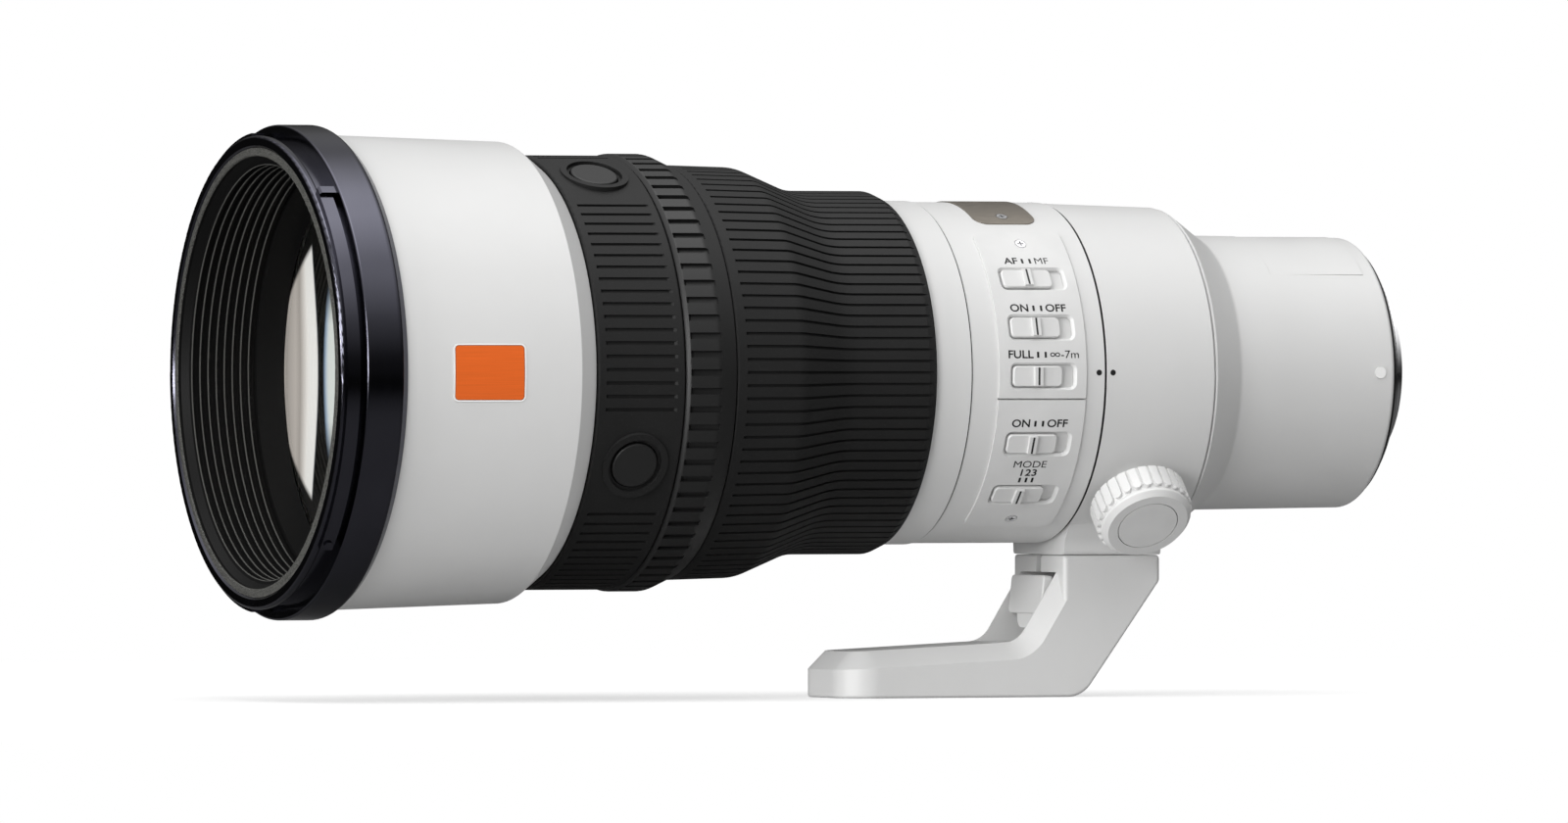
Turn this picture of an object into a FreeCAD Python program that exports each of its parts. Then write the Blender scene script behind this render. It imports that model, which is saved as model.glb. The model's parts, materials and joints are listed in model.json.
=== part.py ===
import FreeCAD, Part

import math
import os

# A super telephoto lens with its tripod collar and foot, in millimetres.
# The origin is the mouth of the large tripod socket in the foot's sole.
# The optical axis lies along X: the front looks to -X and the camera is at +X.
# The switches are on the -Y side. "Back" is the distance behind the front rim.

# Overall places
AXIS_HEIGHT = 82.8
SOCKET_BACK = 193.0
SMALL_SOCKET_AHEAD = 19.0

# Helpers for cutting and joining
CUT_REACH = 1.0
ROOT_DEPTH = 0.5
SAME_PLACE = 0.01

# Clearances
RING_GAP = 0.3
TURNING_CLEARANCE = 0.3
SEAT_CLEARANCE = 0.05
SLIDE_CLEARANCE = 0.3
GLASS_CLEARANCE = 0.05
PIN_CLEARANCE = 0.05

# Black front ring with the hood bayonet
FRONT_RING_LENGTH = 17.3
FRONT_RING_WALL = 1.9
FRONT_BAND_RISE = 3.85
FRONT_BAND_BEVEL = 1.95
FRONT_BAND_BEVEL_LENGTH = 2.2
BAYONET_LENGTH = 5.8
BAYONET_LIP_LENGTH = 2.0
BAYONET_LIP_RISE = 1.1
BAYONET_LIP_ROUNDING = 0.7
HOOD_LUG_RISE = 2.0
HOOD_LUG_START = 1.2
HOOD_LUG_LENGTH = 3.4
HOOD_LUG_COUNT = 3
HOOD_LUG_ANGLE = 94.0
HOOD_FAR_LUG_ANGLE = 50.0
HOOD_STOP_RISE = 2.9
HOOD_STOP_ANGLE = 2.2
HOOD_STOP_OVERRUN = 1.0
HOOD_PIN_RADIUS = 1.1
HOOD_PIN_RISE = 2.5
HOOD_PIN_ANGLE = -45.0
FRONT_SPIGOT_LENGTH = 5.5

# Ribbed baffle in the mouth
BAFFLE_BORE_MARGIN = 0.3
BAFFLE_FACE_SLOPE = 0.4
BAFFLE_RIB_START = 3.0
BAFFLE_RIB_PITCH = 2.2
BAFFLE_RIB_DEPTH = 0.9
BAFFLE_RIB_RISE = 0.3
BAFFLE_RIB_CREST = 0.25
BAFFLE_RIB_COUNT = 8
BAFFLE_LIP = 2.1
BAFFLE_LIP_LENGTH = 1.2
BAFFLE_LIP_ROUNDING = 0.3
BAFFLE_SEAT_LENGTH = 5.8
BAFFLE_SEAT_RISE = 4.3
BAFFLE_REAR_STEP = 1.8
BAFFLE_REAR_GAP = 1.0
BAFFLE_REAR_WALL = 1.5
BAFFLE_END_RUN = 0.3

# Glass
GLASS_START = 20.5
FRONT_GLASS_RADIUS = 52.0
FRONT_GLASS_SAG = 8.0
FRONT_GLASS_EDGE = 3.5
FRONT_GLASS_REAR_HOLLOW = 4.0
SECOND_GLASS_RADIUS = 42.0
SECOND_GLASS_EDGE = 3.0
SECOND_GLASS_BULGE = 2.6
THIRD_GLASS_RADIUS = 37.5
THIRD_GLASS_EDGE = 3.0
THIRD_GLASS_BULGE = 2.0
THIRD_GLASS_BEHIND = 9.0
GLASS_LEDGE = 2.0
LEDGE_BEVEL = 0.4

# Front cell
CELL_WALL = 1.3
CELL_SPIGOT_LENGTH = 8.0

# White front barrel
FRONT_BARREL_LENGTH = 53.3
FRONT_BARREL_STEP = 0.5
FRONT_BARREL_TAPER = 1.5
FRONT_BARREL_WALL = 1.5
FRONT_BEVEL_LENGTH = 5.6
FRONT_BEVEL_DEPTH = 4.3
FRONT_FLANGE_WIDTH = 3.1
FRONT_FLANGE_THICKNESS = 3.0
FRONT_WALL_RUN = 1.0
EDGE_ROUNDING = 0.5

# Orange plate on the front barrel
BADGE_BACK = 39.8
BADGE_LENGTH = 19.8
BADGE_WIDTH = 14.6
BADGE_CORNER = 1.5
BADGE_PROUD = 0.15
BADGE_DEPTH = 0.7

# Main tube that carries the rings
TUBE_WALL = 1.6
HOLD_WALL = 1.8
GLASS_FLANGE = 1.5
TUBE_REAR_RADIUS = 34.0
TUBE_REAR_LENGTH = 4.5
COLLAR_LAND_RADIUS = 38.3

# Rubber sleeve with the hold buttons
HOLD_LENGTH = 23.6
HOLD_RISE = 0.9
HOLD_RUBBER = 2.0
HOLD_RIB_PITCH = 3.5
HOLD_GROOVE_ANGLE = 0.95
HOLD_GROOVE_DEPTH = 0.6
HOLD_RIB_INSET = 2.1
HOLD_PAD_ANGLE = 28.0
HOLD_BUTTON_COUNT = 4
HOLD_BUTTON_ANGLE = -25.0
HOLD_BUTTON_RADIUS = 6.0
HOLD_BUTTON_TRAVEL = 0.6
HOLD_BUTTON_PROUD = 0.3
HOLD_BUTTON_HEAD = 1.7
HOLD_STEM_RADIUS = 2.0
HOLD_STEM_LENGTH = 2.6
HOLD_LIP_RADIUS = 8.75
HOLD_LIP_WIDTH = 1.6
HOLD_LIP_HEIGHT = 0.5
BUTTON_WELL_DEPTH = 1.0

# Function ring
FUNCTION_LENGTH = 14.5
FUNCTION_RISE = 0.5
FUNCTION_RIB_COUNT = 75
FUNCTION_GROOVE_ANGLE = 1.7
FUNCTION_GROOVE_DEPTH = 1.0
FUNCTION_RIB_START = 0.9
FUNCTION_RIB_LENGTH = 7.8
FUNCTION_REAR_STEP = 2.6
FUNCTION_FRONT_BEVEL = 1.0
FUNCTION_CONE_ROUNDING = 2.0
FUNCTION_WALL = 1.9

# Focus ring
FOCUS_LENGTH = 57.8
FOCUS_FRONT_STEP = 0.2
FOCUS_SHOULDER_DROP = 0.5
FOCUS_SHOULDER = 18.6
FOCUS_SLOPE_LENGTH = 14.5
FOCUS_WAIST_DEPTH = 5.9
FOCUS_REAR_STEP = 1.1
FOCUS_CUT_RISE = 1.5
FOCUS_REAR_TAPER = 2.4
FOCUS_RUBBER = 1.9
FOCUS_SLEEVE_WALL = 1.3
FOCUS_LIP = 2.8
FOCUS_GROOVE_COUNT = 100
FOCUS_GROOVE_ANGLE = 0.85
FOCUS_GROOVE_DEPTH = 0.7
FOCUS_SHOULDER_ROUNDING = 7.0
FOCUS_WAIST_ROUNDING = 18.0

# Trim ring and switch barrel
TRIM_LENGTH = 10.2
TRIM_RADIUS = 43.85
SWITCH_BARREL_LENGTH = 36.85
SWITCH_BARREL_RADIUS = 43.55
SWITCH_BARREL_WALL = 2.2
SEAM_CHAMFER = 0.25
SEAM_GAP = 0.45
SEAM_GROOVE_WIDTH = 0.35
SEAM_GROOVE_DEPTH = 0.8
INNER_TUBE_RADIUS = 35.2

# Switch plates
PLATE_AHEAD = 7.2
PLATE_LENGTH = 24.5
PLATE_TOP_ANGLE = 54.0
PLATE_SPLIT_ANGLE = -8.8
PLATE_LOW_ANGLE = -63.0
PLATE_SPLIT_GAP = 0.45
PLATE_PROUD = 0.55
PLATE_BEVEL = 0.35
PLATE_THICKNESS = 1.2
PLATE_CORNER = 3.0

# Slide switches
WINDOW_LENGTH = 17.2
WINDOW_WIDTH = 5.8
WINDOW_CORNER = 1.2
WINDOW_BEVEL = 0.7
KNOB_LENGTH = 13.6
KNOB_WIDTH = 5.2
KNOB_PROUD = 0.15
KNOB_RIDGE_LENGTH = 2.2
KNOB_RIDGE_HEIGHT = 0.8
KNOB_END_CLEARANCE = 0.2
KNOB_STEM_LENGTH = 4.0
KNOB_STEM_WIDTH = 2.0
KNOB_STEM_REACH = 1.2
SWITCH_ANGLES = {
    "focus_mode_switch": 32.8,
    "manual_override_switch": 15.1,
    "focus_range_switch": -1.2,
    "stabiliser_switch": -24.3,
    "stabiliser_mode_switch": -44.8,
}

# Small screws in the plates
SCREW_HEAD_RADIUS = 1.4
SCREW_HEAD_THICKNESS = 0.6
SCREW_HEAD_GAP = 0.15
SCREW_SHANK_RADIUS = 0.7
SCREW_SHANK_LENGTH = 1.9
SCREW_CROSS_WIDTH = 0.35
SCREW_CROSS_LENGTH = 1.7
SCREW_CROSS_DEPTH = 0.35
UPPER_SCREW_ANGLE = 48.0
LOWER_SCREW_ANGLE = -57.5

# Name plate on top
NAME_PLATE_AHEAD = 10.7
NAME_PLATE_LENGTH = 17.0
NAME_PLATE_ANGLE = 60.0
NAME_PLATE_CORNER = 3.5
NAME_PLATE_PROUD = 0.25
NAME_PLATE_THICKNESS = 0.9
NAME_SCREW_INSET_ANGLE = 5.4

# Circuit board
BOARD_AHEAD = 4.5
BOARD_THICKNESS = 1.2
BOARD_WIDTH = 4.4
BOARD_ANGLE = 300.0

# Tripod collar
COLLAR_LENGTH = 30.8
COLLAR_FRONT_RADIUS = 43.3
COLLAR_REAR_RADIUS = 42.4
PEDESTAL_LENGTH = 27.0
PEDESTAL_AHEAD = 0.3
PEDESTAL_WIDTH = 32.0
PEDESTAL_DROP = 46.5
PEDESTAL_FLARE = 5.0
PEDESTAL_ROOT = 5.0
PEDESTAL_EDGE = 3.0
PEDESTAL_ROUNDING = 1.0
PEDESTAL_FLARE_HEIGHT = 7.0
RAIL_WIDTH = 15.0
RAIL_NECK = 10.0
RAIL_HEIGHT = 3.2
RAIL_FRONT_INSET = 6.0

# Collar lock knob
LOCK_ANGLE = -45.0
LOCK_AHEAD = 13.4
LOCK_BOSS_RADIUS = 8.0
LOCK_BOSS_REACH = 45.2
LOCK_KNOB_RADIUS = 12.6
LOCK_KNOB_HEIGHT = 9.6
LOCK_RIB_COUNT = 28
LOCK_RIB_WIDTH = 2.1
LOCK_RIB_HEIGHT = 7.0
LOCK_RIB_DEPTH = 0.55
LOCK_NECK_DEPTH = 1.1
LOCK_RIM_DEPTH = 0.75
LOCK_RIM_BEVEL = 1.3
LOCK_CAP_RADIUS = 7.75
LOCK_CAP_THICKNESS = 1.0
LOCK_CAP_GAP = 0.25
LOCK_STUD_RADIUS = 2.5
LOCK_STUD_IN_KNOB = 5.0
LOCK_STUD_IN_COLLAR = 5.4

# Foot
FOOT_GAP = 0.12
FOOT_WIDTH = 32.0
FOOT_SOLE_FRONT = 38.0
FOOT_ARM_FRONT_HEIGHT = 11.6
FOOT_ARM_REAR_HEIGHT = 14.1
FOOT_BRIDGE_THICKNESS = 4.4
FOOT_FRONT_SLANT = 31.7
FOOT_REAR_SLANT = 36.0
FOOT_REAR_STRAIGHT = 6.4
FOOT_HEEL_ROUNDING = 8.0
FOOT_THROAT_ROUNDING = 7.0
FOOT_EDGE_CHAMFER = 4.4
FOOT_POCKET_WIDTH = 22.0
FOOT_POCKET_WALL = 5.0
FOOT_POCKET_ROUNDING = 2.5
FOOT_SLIT_WIDTH = 3.0
FOOT_SLIT_DEPTH = 5.0
FOOT_NOSE_ROUNDING = 9.0
FOOT_BRIDGE_ROUNDING = 1.2
FOOT_SIDE_ROUNDING = 0.8
FOOT_POCKET_REACH = 40.0

# Foot lever
LEVER_WIDTH = 20.6
LEVER_HEIGHT = 9.9
LEVER_THICKNESS = 2.4
LEVER_TOP_DROP = 0.8
LEVER_LEAN = 6.0
LEVER_FRONT_INSET = 3.6
LEVER_CORNER = 1.2
LEVER_TONGUE_WIDTH = 12.0
LEVER_TONGUE_DROP = 3.6
LEVER_TONGUE_CORNER = 3.5
LEVER_TONGUE_INSET = 0.8
LEVER_TONGUE_THICKNESS = 3.0
LEVER_ARM_WIDTH = 6.0
LEVER_ARM_HEIGHT = 5.0
LEVER_PIVOT_RUN = 12.5
LEVER_HUB_RADIUS = 3.4
LEVER_PIN_RADIUS = 1.5
LEVER_PIN_BITE = 2.5

# Tripod thread inserts: tap drill radii of the two tripod threads
LARGE_THREAD_RADIUS = 3.97
SMALL_THREAD_RADIUS = 2.55
THREAD_DEPTH = 9.0
INSERT_WALL = 1.7
INSERT_FLOOR = 1.2

# Rear barrel
REAR_BARREL_LENGTH = 53.8
REAR_LAND = 0.5
REAR_FRONT_RADIUS = 42.1
REAR_CONE_LENGTH = 9.7
REAR_RADIUS = 35.25
REAR_END_RADIUS = 34.75
REAR_WALL = 2.4
REAR_CONE_ROUNDING = 2.0
REAR_END_MARGIN = 2.0
REAR_INNER_RUN = 4.0
REAR_INNER_RISE = 1.0
REAR_INNER_DROP = 1.5
REAR_FLANGE_THICKNESS = 3.5
REAR_END_ROUNDING = 1.2
REAR_END_WALL = 3.0
INDEX_BEAD_RADIUS = 1.5
INDEX_BEAD_AHEAD = 4.3
INDEX_BEAD_PROUD = 0.2
INDEX_BEAD_DEPTH = 0.9

# Drop-in filter
FILTER_CAP_LENGTH = 26.0
FILTER_CAP_AHEAD = 4.4
FILTER_CAP_ANGLE = 88.0
FILTER_CAP_GAP = 0.12
FILTER_WINDOW_DEPTH = 8.0
FILTER_HEADROOM = 1.0
FILTER_CAP_THICKNESS = 2.6
FILTER_FRAME_THICKNESS = 7.0
FILTER_FRAME_WIDTH = 44.0
FILTER_FRAME_DROP = 22.5
FILTER_GLASS_RADIUS = 20.25
FILTER_GLASS_THICKNESS = 3.0
FILTER_BORE = 19.0
FILTER_GUIDE_LENGTH = 13.0

# Camera bayonet
GASKET_BEVEL = 0.4
GASKET_RADIUS = 33.6
GASKET_THICKNESS = 0.9
FLANGE_RADIUS = 31.5
FLANGE_THICKNESS = 2.3
BAYONET_TUBE_RADIUS = 22.3
BAYONET_TUBE_BORE = 20.6
BAYONET_TUBE_LENGTH = 5.4
MOUNT_LUG_RADIUS = 23.6
MOUNT_LUG_THICKNESS = 1.5
MOUNT_LUG_INSET = 0.6
MOUNT_LUG_ANGLE = 52.0
MOUNT_LUG_COUNT = 3
MOUNT_LUG_START = 26.0
MOUNT_SCREW_COUNT = 4
MOUNT_SCREW_CIRCLE = 27.2
MOUNT_SCREW_HEAD = 1.9
MOUNT_SCREW_INSET = 0.2
MOUNT_SCREW_HEAD_DEPTH = 1.1
MOUNT_SCREW_SHANK = 0.9
MOUNT_SCREW_LENGTH = 4.2

# Rear baffle and contacts
REAR_BAFFLE_INSET = 1.0
REAR_GLASS_ROOM = 0.5
REAR_BAFFLE_BORE = 15.5
REAR_BAFFLE_LENGTH = 9.5
CONTACT_COUNT = 10
CONTACT_PITCH_ANGLE = 7.0
CONTACT_CIRCLE = 17.6
CONTACT_RADIUS = 0.6
CONTACT_PROUD = 0.4
CONTACT_LENGTH = 3.0
CONTACT_BLOCK_WIDTH = 2.6
CONTACT_BLOCK_THICKNESS = 1.6
REAR_GLASS_RADIUS = 18.0
REAR_GLASS_FRONT_BULGE = 0.8
REAR_GLASS_REAR_BULGE = 1.2
REAR_GLASS_THICKNESS = 7.0

# Focusing unit
ROD_RADIUS = 1.2
ROD_CIRCLE = 30.0
ROD_LENGTH = 40.0
FOCUS_CARRIAGE_RADIUS = 31.9
FOCUS_CARRIAGE_LENGTH = 8.0
FOCUS_GLASS_RADIUS = 24.0
FOCUS_GLASS_BULGE = 1.0
FOCUS_GLASS_THICKNESS = 5.0
FOCUS_TRAVEL = 8.0
CARRIAGE_RING_WALL = 2.2
CARRIAGE_EAR_WIDTH = 8.0
MAGNET_WIDTH = 12.0
MAGNET_THICKNESS = 4.0
TUBE_END_WALL = 2.6

# Aperture unit and stabiliser
APERTURE_LENGTH = 7.0
APERTURE_MOUTH = 3.0
APERTURE_LAND = 2.0
APERTURE_BORE = 17.0
STABILISER_BASE_LENGTH = 4.0
STABILISER_PLATE_LENGTH = 3.0
STABILISER_SHIFT = 1.2
STABILISER_BORE = 19.0
STABILISER_SLIDE_RADIUS = 29.6
STABILISER_HOLDER_RADIUS = 26.0
STABILISER_FRONT_BULGE = 0.8
STABILISER_REAR_BULGE = 0.5
STABILISER_GLASS_RADIUS = 17.5
STABILISER_KEY_INSET = 3.0
STABILISER_SLOT_REACH = 12.0
STABILISER_SIDE_ROOM = 0.6
STABILISER_HOLDER_WALL = 1.5
STABILISER_LEDGE_THICKNESS = 0.8
STABILISER_KEY_WIDTH = 4.0
STABILISER_KEY_HEIGHT = 1.2
UNIT_GAP = 0.3

# Places along the axis that follow from the lengths
FRONT_BARREL_END = FRONT_RING_LENGTH + FRONT_BARREL_LENGTH
HOLD_START = FRONT_BARREL_END + RING_GAP
HOLD_END = HOLD_START + HOLD_LENGTH
FUNCTION_START = HOLD_END + RING_GAP
FUNCTION_END = FUNCTION_START + FUNCTION_LENGTH
FOCUS_START = FUNCTION_END + RING_GAP
FOCUS_END = FOCUS_START + FOCUS_LENGTH
TRIM_START = FOCUS_END + RING_GAP
TRIM_END = TRIM_START + TRIM_LENGTH
SWITCH_START = TRIM_END
SWITCH_END = SWITCH_START + SWITCH_BARREL_LENGTH
COLLAR_START = SWITCH_END + SEAM_GAP
COLLAR_END = COLLAR_START + COLLAR_LENGTH
REAR_START = COLLAR_END + RING_GAP
REAR_END = REAR_START + REAR_BARREL_LENGTH
GASKET_END = REAR_END + GASKET_THICKNESS
FLANGE_END = REAR_END + FLANGE_THICKNESS
PLATE_START = SWITCH_START + PLATE_AHEAD
PLATE_MIDDLE = PLATE_START + PLATE_LENGTH / 2
NAME_PLATE_MIDDLE = SWITCH_START + NAME_PLATE_AHEAD + NAME_PLATE_LENGTH / 2
PEDESTAL_START = COLLAR_START + PEDESTAL_AHEAD
PEDESTAL_END = PEDESTAL_START + PEDESTAL_LENGTH
LOCK_BACK = COLLAR_START + LOCK_AHEAD
TUBE_END = REAR_START + TUBE_REAR_LENGTH
FILTER_CAP_END = REAR_END - FILTER_CAP_AHEAD
FILTER_BACK = FILTER_CAP_END - FILTER_CAP_LENGTH / 2

# Radii of the front, from the front glass outwards
BAFFLE_BORE = FRONT_GLASS_RADIUS + BAFFLE_BORE_MARGIN
BAFFLE_REAR_BORE = FRONT_GLASS_RADIUS - BAFFLE_REAR_STEP
FRONT_RING_BORE = BAFFLE_BORE + BAFFLE_SEAT_RISE
BAYONET_GROOVE_RADIUS = FRONT_RING_BORE + FRONT_RING_WALL
BAYONET_LIP_RADIUS = BAYONET_GROOVE_RADIUS + BAYONET_LIP_RISE
HOOD_LUG_RADIUS = BAYONET_GROOVE_RADIUS + HOOD_LUG_RISE
HOOD_STOP_RADIUS = BAYONET_GROOVE_RADIUS + HOOD_STOP_RISE
FRONT_RING_RADIUS = BAYONET_GROOVE_RADIUS + FRONT_BAND_RISE
FRONT_RING_REAR_RADIUS = FRONT_RING_RADIUS - FRONT_BAND_BEVEL
FRONT_BARREL_FRONT_RADIUS = FRONT_RING_REAR_RADIUS - FRONT_BARREL_STEP
FRONT_BARREL_REAR_RADIUS = FRONT_BARREL_FRONT_RADIUS - FRONT_BARREL_TAPER
FRONT_BEVEL_RADIUS = FRONT_BARREL_REAR_RADIUS - FRONT_BEVEL_DEPTH
FRONT_FLANGE_BORE = FRONT_BEVEL_RADIUS - FRONT_FLANGE_WIDTH
HOLD_RADIUS = FRONT_BEVEL_RADIUS + HOLD_RISE
FUNCTION_RADIUS = HOLD_RADIUS + FUNCTION_RISE
FUNCTION_REAR_RADIUS = FUNCTION_RADIUS - FUNCTION_REAR_STEP
FOCUS_RADIUS = FUNCTION_REAR_RADIUS - FOCUS_FRONT_STEP
FOCUS_SHOULDER_RADIUS = FOCUS_RADIUS - FOCUS_SHOULDER_DROP
FOCUS_WAIST_RADIUS = FOCUS_SHOULDER_RADIUS - FOCUS_WAIST_DEPTH
FOCUS_REAR_RADIUS = FOCUS_WAIST_RADIUS - FOCUS_REAR_STEP

# Radii that follow from the pieces that fit over each other
HOLD_SEAT_RADIUS = HOLD_RADIUS - HOLD_RUBBER
FUNCTION_BORE = FUNCTION_REAR_RADIUS - FUNCTION_WALL
FUNCTION_LAND_RADIUS = FUNCTION_BORE - TURNING_CLEARANCE
TUBE_FRONT_RADIUS = FRONT_FLANGE_BORE - SEAT_CLEARANCE
CELL_SPIGOT_RADIUS = TUBE_FRONT_RADIUS - TUBE_WALL - SEAT_CLEARANCE
FOCUS_SLEEVE_DEPTH = FOCUS_RUBBER + FOCUS_SLEEVE_WALL
FOCUS_TUBE_DEPTH = FOCUS_SLEEVE_DEPTH + TURNING_CLEARANCE
SWITCH_BORE = SWITCH_BARREL_RADIUS - SWITCH_BARREL_WALL
INNER_BORE = INNER_TUBE_RADIUS - TUBE_WALL
PLATE_SEAT_RADIUS = SWITCH_BARREL_RADIUS + PLATE_PROUD - PLATE_THICKNESS
COLLAR_BORE = COLLAR_LAND_RADIUS + TURNING_CLEARANCE
KNOB_TRAVEL = WINDOW_LENGTH - KNOB_LENGTH - 2 * KNOB_END_CLEARANCE
FOOT_TOP = AXIS_HEIGHT - PEDESTAL_DROP - FOOT_GAP

X_AXIS = FreeCAD.Vector(1, 0, 0)
Y_AXIS = FreeCAD.Vector(0, 1, 0)
Z_AXIS = FreeCAD.Vector(0, 0, 1)
ON_AXIS = FreeCAD.Vector(0, 0, AXIS_HEIGHT)
FULL_TURN = 360.0
TOP_ANGLE = 90.0


def above_axis(back, radius):
    """The point over the optical axis at a distance behind the front rim."""
    return FreeCAD.Vector(back - SOCKET_BACK, 0, AXIS_HEIGHT + radius)


def beside_foot(back, height):
    """The point in the middle plane at a height over the sole."""
    return FreeCAD.Vector(back - SOCKET_BACK, 0, height)


def closed_wire(corners, place):
    """A closed wire through the corners; a corner's third number rounds it."""
    pieces = []
    count = len(corners)
    for index, corner in enumerate(corners):
        here = place(corner[0], corner[1])
        rounding = corner[2] if len(corner) > 2 else 0
        if not rounding:
            pieces.append((here, None, here))
            continue
        before = (place(*corners[index - 1][:2]) - here).normalize()
        after = (place(*corners[(index + 1) % count][:2]) - here).normalize()
        half = before.getAngle(after) / 2
        reach = rounding / math.tan(half)
        middle = here + (before + after).normalize() * (rounding / math.sin(half) - rounding)
        pieces.append((here + before * reach, middle, here + after * reach))
    edges = []
    for index, (start, middle, end) in enumerate(pieces):
        if middle is not None:
            edges.append(Part.Arc(start, middle, end).toShape())
        following = pieces[(index + 1) % count][0]
        if end.distanceToPoint(following) > 1e-6:
            edges.append(Part.makeLine(end, following))
    return Part.Wire(edges)


def turned(corners, sweep=FULL_TURN):
    """The solid that the corners (back, radius) sweep round the optical axis."""
    face = Part.Face(closed_wire(corners, above_axis))
    return face.revolve(ON_AXIS, X_AXIS, sweep)


def at_angle(shape, angle):
    """A copy of a piece made on top of the barrel, turned to an angle above the switch side."""
    copy = shape.copy()
    copy.rotate(ON_AXIS, X_AXIS, TOP_ANGLE - angle)
    return copy


def sector(corners, upper, lower):
    """A turned piece that reaches from the upper to the lower angle."""
    return at_angle(turned(corners, upper - lower), upper)


def band(start, end, inner, outer, upper, lower, corner=0):
    """A curved plate between two angles, with its four corners rounded."""
    plate = sector([(start, inner), (end, inner), (end, outer), (start, outer)], upper, lower)
    if corner:
        radial = [edge for edge in plate.Edges if abs(edge.Length - (outer - inner)) < 1e-4]
        plate = plate.makeFillet(corner, radial)
    return plate


def rounded_block(length, width, height, corner=0):
    """A block centred on X and Y that stands on Z 0, with its upright edges rounded."""
    block = Part.makeBox(length, width, height, FreeCAD.Vector(-length / 2, -width / 2, 0))
    if corner:
        upright = [edge for edge in block.Edges if abs(edge.tangentAt(0).z) > 0.9]
        block = block.makeFillet(corner, upright)
    return block


def radial_block(back, length, width, inner, outer, angle, corner=0):
    """A block that points away from the axis at an angle, between two radii."""
    block = rounded_block(length, width, outer - inner, corner)
    block.translate(above_axis(back, inner))
    return at_angle(block, angle)


def radial_pin(back, radius, inner, outer, angle):
    """A round pin that points away from the axis at an angle, between two radii."""
    return at_angle(Part.makeCylinder(radius, outer - inner, above_axis(back, inner)), angle)


def axial_pin(start, end, radius, circle, angle):
    """A round pin along the optical axis, on a circle round it."""
    return at_angle(Part.makeCylinder(radius, end - start, above_axis(start, circle), X_AXIS), angle)


def angles(count, first=0.0):
    """Equal angles round a full turn."""
    return [first + FULL_TURN * index / count for index in range(count)]


def grooved(solid, cutter, places):
    """The solid with one groove cut at each angle."""
    return solid.cut([at_angle(cutter, place) for place in places])


def lens_glass(start, radius, edge, front_bulge, rear_bulge):
    """A round glass: a bulge over 0 swells outwards and one under 0 is hollow."""
    tip = start - front_bulge
    tail = start + edge + rear_bulge
    front = Part.Arc(above_axis(tip, 0), arc_middle(start, radius, -front_bulge), above_axis(start, radius))
    rear = Part.Arc(
        above_axis(start + edge, radius), arc_middle(start + edge, radius, rear_bulge), above_axis(tail, 0)
    )
    edges = [
        front.toShape(),
        Part.makeLine(above_axis(start, radius), above_axis(start + edge, radius)),
        rear.toShape(),
        Part.makeLine(above_axis(tail, 0), above_axis(tip, 0)),
    ]
    return Part.Face(Part.Wire(edges)).revolve(ON_AXIS, X_AXIS, FULL_TURN)


def arc_middle(rim, radius, bulge):
    """A point half way up the spherical face whose centre stands out by the bulge."""
    ball = (radius * radius + bulge * bulge) / (2 * abs(bulge))
    half_way = radius / 2
    rise = math.sqrt(ball * ball - half_way * half_way) - (ball - abs(bulge))
    return above_axis(rim + math.copysign(rise, bulge), half_way)


def front_barrel_radius(back):
    """Outer radius of the tapered front barrel."""
    rear = FRONT_BARREL_END - FRONT_BEVEL_LENGTH
    share = (back - FRONT_RING_LENGTH) / (rear - FRONT_RING_LENGTH)
    return FRONT_BARREL_FRONT_RADIUS + share * (FRONT_BARREL_REAR_RADIUS - FRONT_BARREL_FRONT_RADIUS)


def front_barrel_bore(back):
    """Inner radius of the tapered front barrel."""
    return front_barrel_radius(back) - FRONT_BARREL_WALL


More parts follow.
